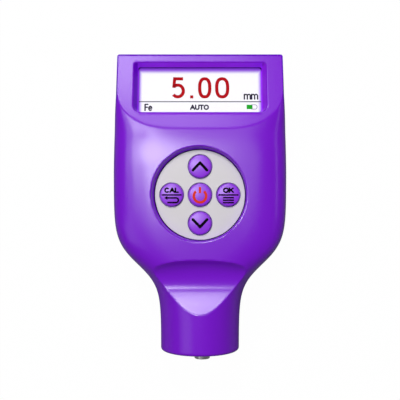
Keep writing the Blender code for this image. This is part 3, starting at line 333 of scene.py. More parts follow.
def violetPlastic():
    # moulded plastic with a fine grain; its gloss is a coat that leaves the pockets' walls bare; painted
    # light and shade give the walls lighter and darker copies of the violet, with painted shade at their
    # feet and along the head's outer edge
    # each mask is a product of ramps over distances in millimetres; most() is their union
    v, r = violet, recess
    paint = Paint("violetHousing", v["base"], v["dull"], Specular_IOR_Level=0.08,
                  Specular_Tint=v["sheen"], Coat_Weight=1.0, Coat_Roughness=v["gloss"], Coat_IOR=1.5)
    cloud = paint.noise(v["flow"], 1.0)
    grain = paint.noise(v["grain"], 3.0, 0.6)
    x, y, z = (paint.place(axis) for axis in range(3))
    slope = housing["facetSlope"]
    up, over = y - displayY, z - float(facetZ(displayY))
    outOf = over * math.cos(slope) + up * math.sin(slope)       # out of the sloping face
    along = up * math.cos(slope) - over * math.sin(slope)       # and up along it
    acrossLeft = r["halfWidth"] + v["recessSpare"][0] - abs(x)
    alongLeft = r["halfHeight"] + v["recessSpare"][1] - abs(along)
    inRecess = (0 - outOf).ramp(0.10, 0.45) * acrossLeft.ramp(0, 0.3) * alongLeft.ramp(0, 0.3)
    apart = y - keypadY
    inReach = (v["pocketReach"] ** 2 - x * x - apart * apart).ramp(0, 5)
    inPocket = inReach * (v["pocketTop"] - z).ramp(0, 0.7)
    sunk = inRecess.most(inPocket)
    # painted shade: near black at the foot of the recess's upper wall and round the pocket wall's foot
    recessFootShade = inRecess * (0 - outOf).ramp(2.3, 2.7) * along.ramp(6.5, 8.0)
    foot = recessFootShade.most(inPocket * (v["pocketFoot"] - z).ramp(0, 0.35))
    # painted shade along the head's top and side edges
    low, high = v["edgeShadeLine"]
    sideLow, sideHigh = (float(leantIn(halfWidth(at), facetZ(at), at)) for at in (low, high))
    side = (y - low) * ((sideHigh - sideLow) / (high - low)) + sideLow
    nearEdge = (abs(x) - side).ramp(*v["edgeShadeWidth"]).most((y - topY).ramp(*v["edgeShadeWidth"]))
    border = nearEdge * (y - v["edgeShadeFrom"]).ramp(0, 3)
    face = (0.10 - abs(outOf)).ramp(0, 0.05) * (1 - inRecess)
    halfLong, halfWide = v["ledgeHalf"]
    onLedge = (halfWide - abs(along + v["ledge"])).ramp(0, 0.1) * (halfLong - abs(x)).ramp(0, 0.5)
    ledge = onLedge * (0.25 - abs(outOf)).ramp(0, 0.1)
    lowSide = (v["dimSideTop"] - z).ramp(0, 3) * (v["dimSideEnd"] - y).ramp(0, 4)
    bare = sunk.most(border).most(lowSide * v["dimSide"]).most(face * (1 - v["faceGloss"])).most(ledge)
    # faint flow clouds of tone, and the painted shade along the head's edge
    plain = paint.mix(border, paint.mix(cloud, v["base"], v["lighter"]), v["rim"])
    # painted light and shade: each wall gets its own lighter or darker copy of the violet
    sides = v["wallFrom"], v["wallFrom"] + 0.4
    walls = paint.mix((0 - x).ramp(*sides), v["recessTopLit"], v["recessLeftShaded"])
    walls = paint.mix(x.ramp(*sides), walls, v["recessRightLit"])
    walls = paint.mix(inPocket, walls, v["pocketWallLit"])
    paint.feed({
        "Base Color": paint.mix(foot, paint.mix(sunk, plain, walls), v["foot"]),
        "Coat Weight": 1 - bare,
        "Roughness": v["dull"] + (grain - 0.5) * 0.10,
    })
    return paint.bump(grain, v["grainDepth"])


def plainPlastic(name, colour, roughness, grain=0.25, depth=0.003):
    # moulded plastic with a grain and a slight change of tone
    paint = Paint(name, colour, roughness)
    lumps = paint.noise(grain, 3.0)
    clouds = paint.noise(8.0, 2.0)
    darker = tuple(part * 0.88 for part in colour)
    paint.feed({
        "Base Color": paint.mix(clouds, darker, colour),
        "Roughness": roughness + (lumps - 0.5) * 0.12,
    })
    return paint.bump(lumps, depth)


def printInk(name, colour):
    # dull printed colour, a little uneven
    paint = Paint(name, colour, 0.6, Specular_IOR_Level=0.0)
    clouds = paint.noise(1.5, 2.0)
    darker = tuple(part * 0.92 for part in colour)
    return paint.feed({"Base Color": paint.mix(clouds, darker, colour)})


def turnedMetal(name, colour, roughness, stretch=(1, 1, 1), lines=0.12, depth=0.0006):
    # metal with fine tool marks along the stretched direction
    paint = Paint(name, colour, roughness, 1.0)
    marks = paint.noise(lines, 2.0, 0.6, stretch)
    stain = paint.noise(4.0, 2.0)
    darker = tuple(part * 0.86 for part in colour)
    paint.feed({
        "Base Color": paint.mix(stain, darker, colour),
        "Roughness": roughness + (marks - 0.5) * 0.10,
    })
    return paint.bump(marks, depth)


# The housing's form

housing = {
    "length": 106.5, "width": 61.98, "depth": 28.5, "neck": 28.5,
    "probeStandOut": 3.3, "neckLength": 31.65, "shoulderSoftness": 4.26,
    "topNarrowing": 1.5, "widestFromTop": 42.9, "wall": 2.0,
    "neckRounding": 1.1, "topRounding": 0.7,
    "frontSquareness": 5.3, "headSquareness": 16.0, "headFromTop": 14.7, "headBlend": 14.7,
    "headDraft": 0.030, "headPower": 2.1, "draftReach": 25.0, "draftPower": 0.8,
    "fallFromTop": 39.9, "fallRadius": 150.0, "fallReach": 21.0,
    "backSquareness": 6.0, "backFlatCut": 0.6,
    "facetFromTop": 26.5, "facetSlope": math.radians(11.3), "displayFromTop": 12.0,
    "keypadFromTop": 50.0,
    "facetEdge": 0.05,   # softness of the edge round the sloping face
    "partingGap": 0.3, "seamRounding": 0.22,
    "cornersFromTop": 15.0, "cornerShare": 0.35,    # where the grid gets closer at the corners
}
topY = (housing["length"] + housing["probeStandOut"]) / 2
neckY = topY - housing["length"]
axisZ = housing["neck"] / 2
shoulderY = neckY + housing["neckLength"]
facetY = topY - housing["facetFromTop"]
displayY = topY - housing["displayFromTop"]
keypadY = topY - housing["keypadFromTop"]

scoop = {
    "y": neckY + 26.7, "depth": 3.9, "backRadius": 22.5, "wallY": neckY + 34.6,
    "wallSlope": math.radians(62.0), "crease": 2.2, "planRadius": 78.0,
    "edge": 0.16,        # softness of its rim
    "blur": 33,          # steps of the slope that are averaged
    # slope of the floor at distances from its lowest line towards the neck's end
    "run": (0.0, 2.2, 3.9, 5.0, 6.2, 8.0, 10.0, 12.6, 18.0),
    "slope": (0.0, 0.10, 0.29, 0.35, 0.38, 0.42, 0.45, 0.49, 0.58),
}


def grown(y):
    # 0 in the neck to 1 in the body, along a logistic curve
    return 1 / (1 + np.exp(-(y - shoulderY) / housing["shoulderSoftness"]))


def halfWidth(y):
    # the neck's radius grows to the body's, which narrows a little towards the top
    widestY = topY - housing["widestFromTop"]
    upper = np.clip((y - widestY) / (topY - widestY), 0, None)
    side = housing["width"] / 2 - housing["topNarrowing"] * upper**1.5
    return axisZ + (side - axisZ) * grown(y)


def crownFall(y):
    # how far the top sinks towards the sloping face: along an arc, then straight on
    past = np.clip(y - topY + housing["fallFromTop"], 0, None)
    bent = np.minimum(past, housing["fallReach"])
    return (bent**2 / 2 + bent * (past - bent)) / housing["fallRadius"]


def headShare(y):
    # 0 down the body to 1 round the display
    rise = np.clip((y - topY + housing["headFromTop"]) / housing["headBlend"] + 1, 0, 1)
    return rise ** housing["headPower"]


def squareness(y):
    # 2 in the round neck, more up the body, and most round the display
    head = (housing["headSquareness"] - housing["frontSquareness"]) * headShare(y)
    return 2 + (housing["frontSquareness"] - 2) * grown(y) + head


def leantIn(x, z, y):
    # the head's sides lean in as they rise, less and less towards the top end
    rise = np.clip((z - axisZ) / axisZ, 0, 1)
    fade = np.clip((topY - y) / housing["draftReach"], 0, 1) ** housing["draftPower"]
    return x * (1 - housing["headDraft"] * headShare(y) * fade * rise)


def lesser(a, b, soft):
    # the lesser of two heights, rounded off where they come within soft of each other
    near = np.clip(1 - np.abs(a - b) / soft, 0, None)
    return np.minimum(a, b) - near**2 * soft / 4


def facetZ(y, inset=0.0):
    # plane that falls from the facet's lower edge to the top end
    slope = housing["facetSlope"]
    edge = housing["depth"] - crownFall(facetY)
    return edge - (y - facetY) * np.tan(slope) - inset / np.cos(slope)


def scoopZ(x, y, inset=0.0):
    # floor whose slope grows towards the neck's end, joined to a steep wall bowed in plan
    s = scoop
    grid = np.linspace(0, 60, 1201)
    steep = np.pad(np.interp(grid, s["run"], s["slope"]), s["blur"] // 2, "edge")
    smooth = np.convolve(steep, np.ones(s["blur"]) / s["blur"], "valid")
    climb = np.concatenate([[0], np.cumsum((smooth[1:] + smooth[:-1]) / 2 * grid[1])])
    past = s["y"] - y
    rise = np.where(past > 0, np.interp(past, grid, climb), past**2 / (2 * s["backRadius"]))
    floor = housing["depth"] - s["depth"] + rise - inset
    wallY = s["wallY"] - x**2 / (2 * s["planRadius"]) + inset / np.sin(s["wallSlope"])
    wall = housing["depth"] + (y - wallY) * np.tan(s["wallSlope"])
    return (floor + wall + np.sqrt((floor - wall) ** 2 + (2 * s["crease"]) ** 2)) / 2


def crownRise(y, inset=0.0):
    # height of the front's section over the axis, in its middle
    return axisZ + (housing["depth"] - 2 * axisZ) * grown(y) - crownFall(y) - inset


def sectionAt(y, angle, inset, back=False):
    # rounded square x^p + z^p = 1 by its polar angle; p falls to 2 in the round neck
    if back:
        p = 2 + (housing["backSquareness"] - 2) * grown(y)
        up = axisZ + housing["backFlatCut"] * grown(y) - inset
    else:
        p, up = squareness(y), crownRise(y, inset)
    c, s = np.cos(angle), np.sin(angle)
    reach = (np.abs(c) ** p + np.abs(s) ** p) ** (-1 / p)
    return (halfWidth(y) - inset) * c * reach, up * s * reach


def evenAngles(columns, back=False):
    # angles that part the body's section into nearly equal lengths, closer at the head's corners
    dense = np.linspace(0, np.pi, 4001)
    x, z = sectionAt(topY - housing["widestFromTop"], dense, 0.0, back)
    run = np.concatenate([[0], np.cumsum(np.hypot(np.diff(x), np.diff(z)))])
    x, z = sectionAt(topY - housing["cornersFromTop"], dense, 0.0, back)
    bend = np.abs(np.gradient(np.unwrap(np.arctan2(np.gradient(z), np.gradient(x)))))
    run = run / run[-1] + housing["cornerShare"] * np.cumsum(bend) / np.sum(bend)
    return np.interp(np.linspace(run[0], run[-1], columns), run, dense)


def stationsAlong(steps):
    # places along Y for the sections: (start, spacing) pairs, with both ends rounded
    low, high = housing["neckRounding"], housing["topRounding"]
    turn = np.radians(np.linspace(0, 90, 8)[:-1])
    along, inwards = 1 - np.cos(turn), 1 - np.sin(turn)
    spots = [neckY + low]
    for start, spacing in steps:
        end = min([s for s, _ in steps if s > start] + [topY - high])
        count = max(int(round((end - spots[-1]) / spacing)), 1)
        spots += list(np.linspace(spots[-1], end, count + 1)[1:])
    y = np.concatenate([neckY + low * along, spots, (topY - high * along)[::-1]])
    inset = np.concatenate([low * inwards, np.zeros(len(spots)), (high * inwards)[::-1]])
    return y, inset


def shell(name, steps, columns, back, features, loops):
    # half the housing as one closed skin: outside grid, rim loops, inside grid
    # loops are (inset, height) rings of the rim, from the outside inwards
    y, inset = stationsAlong(steps)
    rows = len(y)
    rimZ = loops[0][1]
    sign = -1 if back else 1
    edge = housing["seamRounding"]

    def surface(y, inset, columns, skin, rimZ, rounded):
        angle = evenAngles(columns, back)[None, :]
        yy, ii = y[:, None], inset[:, None]
        x, up = sectionAt(yy, angle, ii, back)
        if back:
            z = axisZ - np.minimum(up, axisZ - ii)
        else:
            z = axisZ + up
            x = leantIn(x, z, yy)
            z = lesser(z, facetZ(yy, skin), housing["facetEdge"])
            z = lesser(z, scoopZ(x, yy, skin), scoop["edge"])
        if rounded:      # first and last columns turn in to the seam
            lift = np.abs(z - rimZ)
            lift[:, 0] = lift[:, -1] = 0
            z = rimZ + sign * lift
            turnIn = edge - np.sqrt(np.clip(edge**2 - np.clip(edge - lift, 0, None) ** 2, 0, None))
            x = x - np.sign(x) * turnIn
        z = np.minimum(z, rimZ) if back else np.maximum(z, rimZ)
        z[:, 0] = z[:, -1] = rimZ
        return np.stack([x, np.broadcast_to(yy, x.shape), z], axis=2)

    outside = surface(y, inset, columns, 0.0, rimZ, True)
    wall = housing["wall"]
    share = (y - y[0]) / (y[-1] - y[0])
    innerY = neckY + wall + share * (housing["length"] - 2 * wall)
    innerColumns = columns // 4
    inside = surface(innerY, np.full(rows, wall), innerColumns, wall, loops[-1][1], False)
    for feature in features:
        inside = feature(inside)

    parts = [outside.reshape(-1, 3)]
    faces = gridFaces(rows, columns).tolist()
    index = np.arange(rows * columns).reshape(rows, columns)
    faces += [index[0].tolist(), index[-1].tolist()]
    border = np.concatenate([index[:, 0], index[::-1, -1]])
    count = rows * columns
    for ringInset, z in loops[1:-1]:
        ringY = neckY + ringInset + share * (housing["length"] - 2 * ringInset)
        x = halfWidth(ringY) - ringInset
        right = np.stack([x, ringY, np.full(rows, z)], axis=1)
        left = right[::-1] * (-1, 1, 1)
        parts.append(np.concatenate([right, left]))
        ring = np.arange(count, count + 2 * rows)
        faces += ringFaces(border, ring)
        border, count = ring, count + 2 * rows
    parts.append(inside.reshape(-1, 3))
    index = count + np.arange(rows * innerColumns).reshape(rows, innerColumns)
    faces += gridFaces(rows, innerColumns, count).tolist()
    faces += [index[0].tolist(), index[-1].tolist()]
    faces += ringFaces(border, np.concatenate([index[:, 0], index[::-1, -1]]))
    return meshObject(name, np.concatenate(parts), faces)


def raised(test, height, back):
    # material that stands in from the inside wall to this height wherever test(x, y) holds
    def feature(points):
        x, y, z = points[..., 0], points[..., 1], points[..., 2]
        there = test(x, y)
        reach = height(x, y) if callable(height) else np.full(z.shape, height)
        z[there] = (np.maximum if back else np.minimum)(z, reach)[there]
        return points
    return feature


def around(places, radius):
    # true within this radius of any of the places
    def test(x, y):
        apart = [np.hypot(x - px, y - py) for px, py in places]
        return np.min(apart, axis=0) < radius
    return test


def within(lowX, lowY, highX, highY):
    # true inside this rectangle
    return lambda x, y: (x > lowX) & (x < highX) & (y > lowY) & (y < highY)


def onFacet(points):
    # (x, up the face, out of it) to the object's frame, from the centre of the display
    slope = housing["facetSlope"]
    place = Matrix.Translation((0, displayY, facetZ(displayY))) @ Matrix.Rotation(-slope, 4, "X")
    return moved(points, place)


def crownZ(x, y):
    # outer height of the front shell before its pockets: the rounded square solved for z
    p = squareness(y)
    up = crownRise(y) * np.clip(1 - np.abs(x / halfWidth(y)) ** p, 0, None) ** (1 / p)
    return lesser(axisZ + up, facetZ(y), housing["facetEdge"])


pocket = {
    "radius": 16.1, "floor": 22.7, "ledge": 24.3, "ledgeRadius": 15.0, "plateTop": 25.6,
    "draft": 0.40, "lip": 0.66, "lipTurn": 64, "floorBottom": 21.5, "wall": 1.5,
    "lean": (-0.38, 0.30),      # how far the lip sits from the plate's centre
    "stemHole": 1.9,
}
recess = {
    "halfWidth": 23.5, "halfHeight": 9.2, "depth": 3.0, "viewHalfWidth": 21.8,
    "viewHalfHeight": 8.2, "lowRadius": 2.6, "highRadius": 0.8, "footRadius": 1.1, "through": 3.3,
    "lip": 0.38, "lipTurn": 66, "collar": 1.4, "above": 6.0,
}
keys = {"up": (0, 9.95), "down": (0, -9.95), "left": (-9.95, 0), "right": (9.95, 0), "power": (0, 0)}
clearZ, underZ = 36.0, -4.0     # heights clear over and under the housing, for what cuts it


def lipRings(lip, turn, steps=7):
    # (outward, height) along a rounded lip, from its foot under the surface to past it
    angle = np.radians(np.linspace(0, turn, steps))
    out, rise = lip * (1 - np.cos(angle)), lip * (np.sin(angle) - 1)
    beyond = 2 * lip
    out = np.append(out, out[-1] + beyond * math.sin(angle[-1]))
    return out, np.append(rise, rise[-1] + beyond * math.cos(angle[-1]))


def pocketCutter(steps=160):
    # round well whose lip follows the crown
    turn = np.arange(steps) * 2 * np.pi / steps
    p = pocket
    rings = []
    for r, z in ((p["ledgeRadius"], p["floor"]), (p["ledgeRadius"], p["ledge"]),
                 (p["radius"], p["ledge"]), (p["radius"], p["plateTop"])):
        rings.append((r * np.cos(turn), keypadY + r * np.sin(turn), np.full(steps, z)))
    for out, rise in zip(*lipRings(p["lip"], p["lipTurn"])):
        r = p["radius"] + p["draft"] + out
        x, y = p["lean"][0] + r * np.cos(turn), keypadY + p["lean"][1] + r * np.sin(turn)
        rings.append((x, y, crownZ(x, y) + rise))
    rings.append((x, y, np.full(steps, clearZ)))
    return loftPoints([np.stack(ring, axis=1) for ring in rings])


def recessCutter():
    # tapered rounded rectangle sunk square to the sloping face
    p = recess
    foot = (p["viewHalfWidth"], p["viewHalfHeight"])
    top = (p["halfWidth"], p["halfHeight"])
    sizes = [(*foot, -p["through"]), (*foot, -p["depth"])]
    for out, rise in zip(*lipRings(p["lip"], p["lipTurn"])):
        share = 1 + rise / p["depth"]
        sizes.append((foot[0] + (top[0] - foot[0]) * share + out,
                      foot[1] + (top[1] - foot[1]) * share + out, rise))
    sizes.append((*sizes[-1][:2], p["above"]))
    rings = []
    for halfX, halfY, height in sizes:
        grow = max(halfX - top[0], 0)
        share = min((halfX - foot[0]) / (top[0] - foot[0]), 1)
        low = p["footRadius"] + (p["lowRadius"] - p["footRadius"]) * share
        ring = roundedRing(halfX, halfY, low + grow, p["highRadius"] + grow)
        rings.append(onFacet(np.column_stack([ring, np.full(len(ring), height)])))
    return loftPoints(rings)


def upright(radius, low, high, x=0.0, y=0.0, steps=32):
    # a rod along Z
    points, faces = turnedPoints([(0, low), (radius, low), (radius, high), (0, high)], steps)
    return points + (x, y, 0), faces


probe = {
    "x": 0.8, "bushHole": 4.9, "guideHole": 6.0, "guideLow": -47.8, "guideHigh": -14.0,
    "guideWall": 1.2, "ribApart": 1.75, "ribHalf": 0.8,      # ribs on both sides of the guide's flange
}
screws = {
    "bore": 1.25, "bossFront": 2.7, "bossRear": 3.2, "headHole": 2.2, "headFloor": 9.0,
    "boardBoss": 2.4, "boardBossLow": 16.0,
}
bay = {
    "half": 11.6, "low": 1.0, "roof": 12.9, "wall": 1.2, "roofWall": 1.0,
    "fromDoor": 1.4,        # the bay is this much shorter than the door at both ends
    "seat": 1.5, "seatTop": 3.3, "leafTop": 2.1, "gap": 0.3, "corner": 0.8,
    "tab": 1.4,             # how far the door's tabs reach past its leaf
    "tabX": 9.5, "slotHalf": 1.8, "slotReach": 2.3, "slotLow": 2.0, "slotHigh": 4.4,
}
grids = {       # (start along Y, spacing) of the sections, and the points across each
    "front": ([(neckY, 0.36), (-12, 0.40), (26, 0.30), (38, 0.50)], 236),
    "rear": ([(neckY, 0.55), (-8, 0.9)], 176),
}
seam = {"depth": 1.5, "tongueOut": 1.2, "tongueIn": 1.9, "rebate": 0.9}    # insets from the outside


def alongNeck(radius, lowY, highY, steps=48):
    # a rod on the probe's axis
    points, faces = upright(radius, lowY, highY, steps=steps)
    return points[:, [0, 2, 1]] + (probe["x"], 0, axisZ), faces


def middlesOf(name, count=4):
    # (x, y) of the middles of nodes numbered from 1
    corners = [cornersOf(f"{name}_{n}") for n in range(1, count + 1)]
    return [tuple((low[:2] + high[:2]) / 2) for low, high in corners]


def guideRibs(rim, back):
    # two ribs across the neck with the guide's flange between them
    low, high = cornersOf("probe_guide")
    middle = (low[1] + high[1] - probe["guideWall"]) / 2
    return raised(lambda x, y: np.abs(np.abs(y - middle) - probe["ribApart"]) < probe["ribHalf"], rim, back)


def bushHole():
    # through the neck's end, a little wider than the bush's nose
    return alongNeck(probe["bushHole"], neckY - 4, neckY + 3.5)


def guideHole():
    # through both ribs
    return alongNeck(probe["guideHole"], probe["guideLow"], probe["guideHigh"])


def screwBores(low):
    # one for each case screw, from this height up
    return [upright(screws["bore"], low, 20.0, x, y) for x, y in middlesOf("case_screw")]


def frontShell(paint):
    # upper half: bosses and a collar inside, a tongue along its rim, then the pockets and holes
    rim = axisZ + housing["partingGap"] / 2
    p, r = pocket, recess
    collarX, collarY = r["halfWidth"] + r["collar"], displayY - r["halfHeight"] - r["collar"]
    features = [
        raised(around([(0, keypadY)], p["radius"] + p["wall"]), p["floorBottom"], False),
        raised(within(-collarX, collarY, collarX, 99), lambda x, y: facetZ(y, r["depth"]), False),
        raised(around(middlesOf("case_screw"), screws["bossFront"]), rim, False),
        raised(around(middlesOf("board_screw"), screws["boardBoss"]), screws["boardBossLow"], False),
        guideRibs(rim, False),
    ]
    tip = rim - seam["depth"]
    loops = [(0, rim), (seam["tongueOut"], rim), (seam["tongueOut"], tip), (seam["tongueIn"], tip),
             (seam["tongueIn"], rim), (housing["wall"], rim)]
    piece = shell("frontShell", *grids["front"], False, features, loops)
    cut(piece, [pocketCutter(), recessCutter(), bushHole()])
    stems = [upright(p["stemHole"], 18, p["floor"] + 0.2, x, keypadY + y) for x, y in keys.values()]
    cut(piece, [*stems, *screwBores(10), guideHole()])
    return dress(piece, paint, "housing", "housing_violet", "front_shell")


def rearShell(paint):
    # lower half: the cells' bay and bosses inside, a rebate along its rim, then the door's opening
    rim = axisZ - housing["partingGap"] / 2
    b = bay
    doorLow, doorHigh = cornersOf("battery_door")
    doorLow = doorLow + (0, b["tab"], 0)
    bayLow, bayHigh = doorLow[1] + b["fromDoor"], doorHigh[1] - b["fromDoor"]
    seatX, outer = doorHigh[0] + b["seat"], b["half"] + b["wall"]
    features = [
        raised(within(-seatX, doorLow[1] - b["seat"], seatX, doorHigh[1] + b["seat"]), b["seatTop"], True),
        raised(within(-outer, bayLow - b["wall"], outer, bayHigh + b["wall"]),
               b["roof"] + b["roofWall"], True),
        raised(around(middlesOf("case_screw"), screws["bossRear"]), rim, True),
        guideRibs(rim, True),
    ]
    foot = rim - seam["depth"]
    loops = [(0, rim), (seam["rebate"], rim), (seam["rebate"], foot), (housing["wall"], foot)]
    piece = shell("rearShell", *grids["rear"], True, features, loops)
    halfY = (doorHigh[1] - doorLow[1]) / 2
    opening = roundedRing(doorHigh[0] + b["gap"], halfY + b["gap"], b["corner"], b["corner"], 6)
    opening = opening + (0, (doorLow[1] + doorHigh[1]) / 2)
    leaf = loftPoints([np.column_stack([opening, np.full(len(opening), z)])
                       for z in (underZ, b["leafTop"])])
    heads = [upright(screws["headHole"], underZ, screws["headFloor"], x, y, 48)
             for x, y in middlesOf("case_screw")]
    cut(piece, [leaf, *heads, bushHole()])
    cells = boxPoints((-b["half"], bayLow, b["low"]), (b["half"], bayHigh, b["roof"]))
    slots = [boxPoints((x - b["slotHalf"], doorLow[1] - b["slotReach"], b["slotLow"]),
                       (x + b["slotHalf"], bayLow - 0.1, b["slotHigh"])) for x in (-b["tabX"], b["tabX"])]
    cut(piece, [cells, *slots, *screwBores(8.5), guideHole()])
    return dress(piece, paint, "housing", "housing_violet", "rear_shell")


# Display

display = {
    "panelDepth": 4.3,   # the panel's face under the sloping face
    "ink": 0.04,         # how far the marks stand on it
    "stroke": 1.20, "digitLow": -2.71, "digitHigh": 5.27,
    "digits": (("5", -10.09, -5.38), ("0", -0.71, 4.09), ("0", 5.39, 10.51)),
    "dot": (-3.53, -2.39), "lineY": -3.95, "line": 0.32,
    "wordStroke": 0.50,
    "words": (("mm", 15.62, 20.83, -3.20, -0.95), ("Fe", -19.83, -16.99, -7.42, -4.70),
              ("AUTO", -3.59, 3.2, -7.02, -5.02)),
    "cellX": (18.4, 19.75), "cellY": (-6.7, -5.1), "cellNose": 0.6, "cellStroke": 0.26,
    "chargeX": (16.64, 17.6, 18.73),
}


def ribbon(route, width, closed=False):
    # a flat strip of this width along a smooth route of (x, y)
    route = np.asarray(route, float)
    if closed:
        along = np.roll(route, -1, axis=0) - np.roll(route, 1, axis=0)
    else:
        along = np.gradient(route, axis=0)
    along /= np.linalg.norm(along, axis=1)[:, None]
    side = along[:, ::-1] * (-1, 1) * width / 2
    flat = np.stack([route - side, route + side], axis=1).reshape(-1, 2)
    faces = gridFaces(len(route), 2, aroundRows=closed).tolist()
    return np.column_stack([flat, np.zeros(len(flat))]), faces


def ovalRoute(lowX, highX, lowY, highY, square, steps=72):
    # closed superellipse |x|^p + |y|^p = 1
    turn = np.arange(steps) * 2 * np.pi / steps
    c, s = np.cos(turn), np.sin(turn)
    reach = (np.abs(c) ** square + np.abs(s) ** square) ** (-1 / square)
    x = (lowX + highX) / 2 + (highX - lowX) / 2 * c * reach
    return np.stack([x, (lowY + highY) / 2 + (highY - lowY) / 2 * s * reach], axis=1)


def digitShapes():
    # the reading: ovals for 0, a flag, a stem and a bowl for 5, and a square dot
    p = display
    half = p["stroke"] / 2
    low, high = p["digitLow"] + half, p["digitHigh"] - half
    shapes = []
    for sign, left, right in p["digits"]:
        left, right = left + half, right - half
        if sign == "0":
            shapes.append(ribbon(ovalRoute(left, right, low, high, 2.5), p["stroke"], True))
            continue
        span, tall = right - left, high - low
        flag = np.array([(right - 0.1, high), (left + 0.10 * span, high)])
        stem = np.array([(left + 0.12 * span, high + half), (left + 0.03 * span, low + 0.50 * tall)])
        centre = np.array([left + 0.44 * span, low + 0.325 * tall])
        turn = np.radians(np.linspace(140, -142, 60))
        bowl = centre + np.stack([0.56 * span * np.cos(turn), 0.325 * tall * np.sin(turn)], axis=1)
        shapes += [ribbon(flag, p["stroke"]), ribbon(stem, p["stroke"] * 0.95), ribbon(bowl, p["stroke"])]
    left, right = p["dot"]
    spot = [(left, p["digitLow"]), (left, p["digitLow"] + right - left)]
    shapes.append(ribbon(np.array(spot) + ((right - left) / 2, 0), right - left))
    return shapes


def bow(x, y, radiusX, radiusY, start, end, steps=16):
    # part of an ellipse, angles in degrees
    turn = np.radians(np.linspace(start, end, steps))
    return np.stack([x + radiusX * np.cos(turn), y + radiusY * np.sin(turn)], axis=1).tolist()


# each letter: its width, and its strokes in a square from (0, 0) to (1, 1)
letters = {
    "A": (0.80, [[(0, 0), (0.5, 1)], [(0.5, 1), (1, 0)], [(0.19, 0.34), (0.81, 0.34)]]),
    "U": (0.66, [[(0, 1), *bow(0.5, 0.34, 0.5, 0.34, 180, 360), (1, 1)]]),
    "T": (0.66, [[(0, 1), (1, 1)], [(0.5, 1), (0.5, 0)]]),
    "O": (0.82, [bow(0.5, 0.5, 0.5, 0.5, 0, 360, 40)]),
    "C": (0.74, [bow(0.5, 0.5, 0.5, 0.5, 48, 312, 30)]),
    "L": (0.52, [[(0, 1), (0, 0)], [(0, 0), (1, 0)]]),
    "K": (0.68, [[(0, 0), (0, 1)], [(0.95, 1), (0, 0.36)], [(0.36, 0.60), (1, 0)]]),
    "F": (0.50, [[(0, 0), (0, 1)], [(0, 1), (1, 1)], [(0, 0.53), (0.85, 0.53)]]),
    "e": (0.52, [[(0.02, 0.37), (1, 0.37)], [(1, 0.37), *bow(0.5, 0.34, 0.5, 0.34, 6, 312, 30)]]),
    "m": (0.95, [[(0, 0), (0, 1)], [(0, 0.6), *bow(0.25, 0.68, 0.25, 0.32, 180, 0, 12), (0.5, 0)],
                 [(0.5, 0.6), *bow(0.75, 0.68, 0.25, 0.32, 180, 0, 12), (1, 0)]]),
}


def stroke(route, width):
    # a ribbon with round ends
    route = np.asarray(route, float)
    turn = np.arange(16) * 2 * np.pi / 16
    circle = np.stack([np.cos(turn), np.sin(turn)], axis=1) * width / 2
    ends = [(np.column_stack([spot + circle, np.zeros(16)]), [list(range(16))])
            for spot in (route[0], route[-1])]
    if len(route) == 2:      # short steps, so that a straight stroke follows a key's dome
        length = np.linalg.norm(route[1] - route[0])
        route = np.linspace(route[0], route[1], max(int(np.ceil(length / 0.3)), 1) + 1)
    return [ribbon(route, width), *ends]


def words(text, left, right, low, high, width):
    # a word of strokes that fills this rectangle
    gap = 0.22
    total = sum(letters[sign][0] for sign in text) + gap * (len(text) - 1)
    scale = (right - left - width) / total
    x, shapes = left + width / 2, []
    for sign in text:
        wide, routes = letters[sign]
        for route in routes:
            spots = np.array(route) * (wide * scale, high - low - width) + (x, low + width / 2)
            shapes += stroke(spots, width)
        x += (wide + gap) * scale
    return shapes


def flatPiece(name, shapes, place):
    # flat marks put where place(points) says, facing up
    points, faces = together(shapes)
    data = bpy.data.meshes.new(name)
    turned = []
    for face in faces:
        corners = points[face]
        after = np.roll(corners, -1, axis=0)
        area = np.sum(corners[:, 0] * after[:, 1] - after[:, 0] * corners[:, 1])
        turned.append(face if area > 0 else face[::-1])
    data.from_pydata((place(points) * mm).tolist(), [], turned)
    return linked(name, data)


def onPanel(lift):
    # flat points put this far over the display panel's face
    return lambda points: onFacet(points + (0, 0, lift - display["panelDepth"]))


def lcdPaint():
    # backlit white with a painted violet reflection of the recess walls along the window's border, and
    # painted shade under its top wall
    paint = Paint("litDisplay", (0.50, 0.50, 0.52), 0.30, Specular_IOR_Level=0.0, Emission_Strength=0.60)
    x, y = paint.place(0), paint.place(1)
    slope = housing["facetSlope"]
    up = (y - (displayY - display["panelDepth"] * math.sin(slope))) * (1 / math.cos(slope))
    fromSide = recess["viewHalfWidth"] - abs(x)
    fromEnd = recess["viewHalfHeight"] - abs(up)
    high = recess["viewHalfHeight"] - up
    # painted reflection of the violet walls along the border, widest under the top wall as painted shade
    wallReflectionAndShade = (1 - fromSide.ramp(-0.3, 1.3)).most(1 - fromEnd.ramp(-0.4, 0.6)).most(1 - high.ramp(0.0, 1.9))
    cells = paint.noise(0.35, 1.0)
    white = paint.mix(cells, (0.50, 0.50, 0.52), (0.54, 0.54, 0.55))
    paint.feed({
        "Base Color": paint.mix(wallReflectionAndShade, white, (0.22, 0.06, 0.50)),
        "Emission Color": paint.mix(wallReflectionAndShade, (0.93, 0.93, 0.94), (0.26, 0.05, 0.80)),
    })
    return paint


def windowPaint():
    # clear plastic with faint smears
    paint = Paint("clearWindow", (0.10, 0.08, 0.12), 0.04, Alpha=0.05, IOR=1.45, Specular_IOR_Level=0.0)
    return paint.feed({"Roughness": 0.03 + paint.noise(9.0, 2.0) * 0.05})


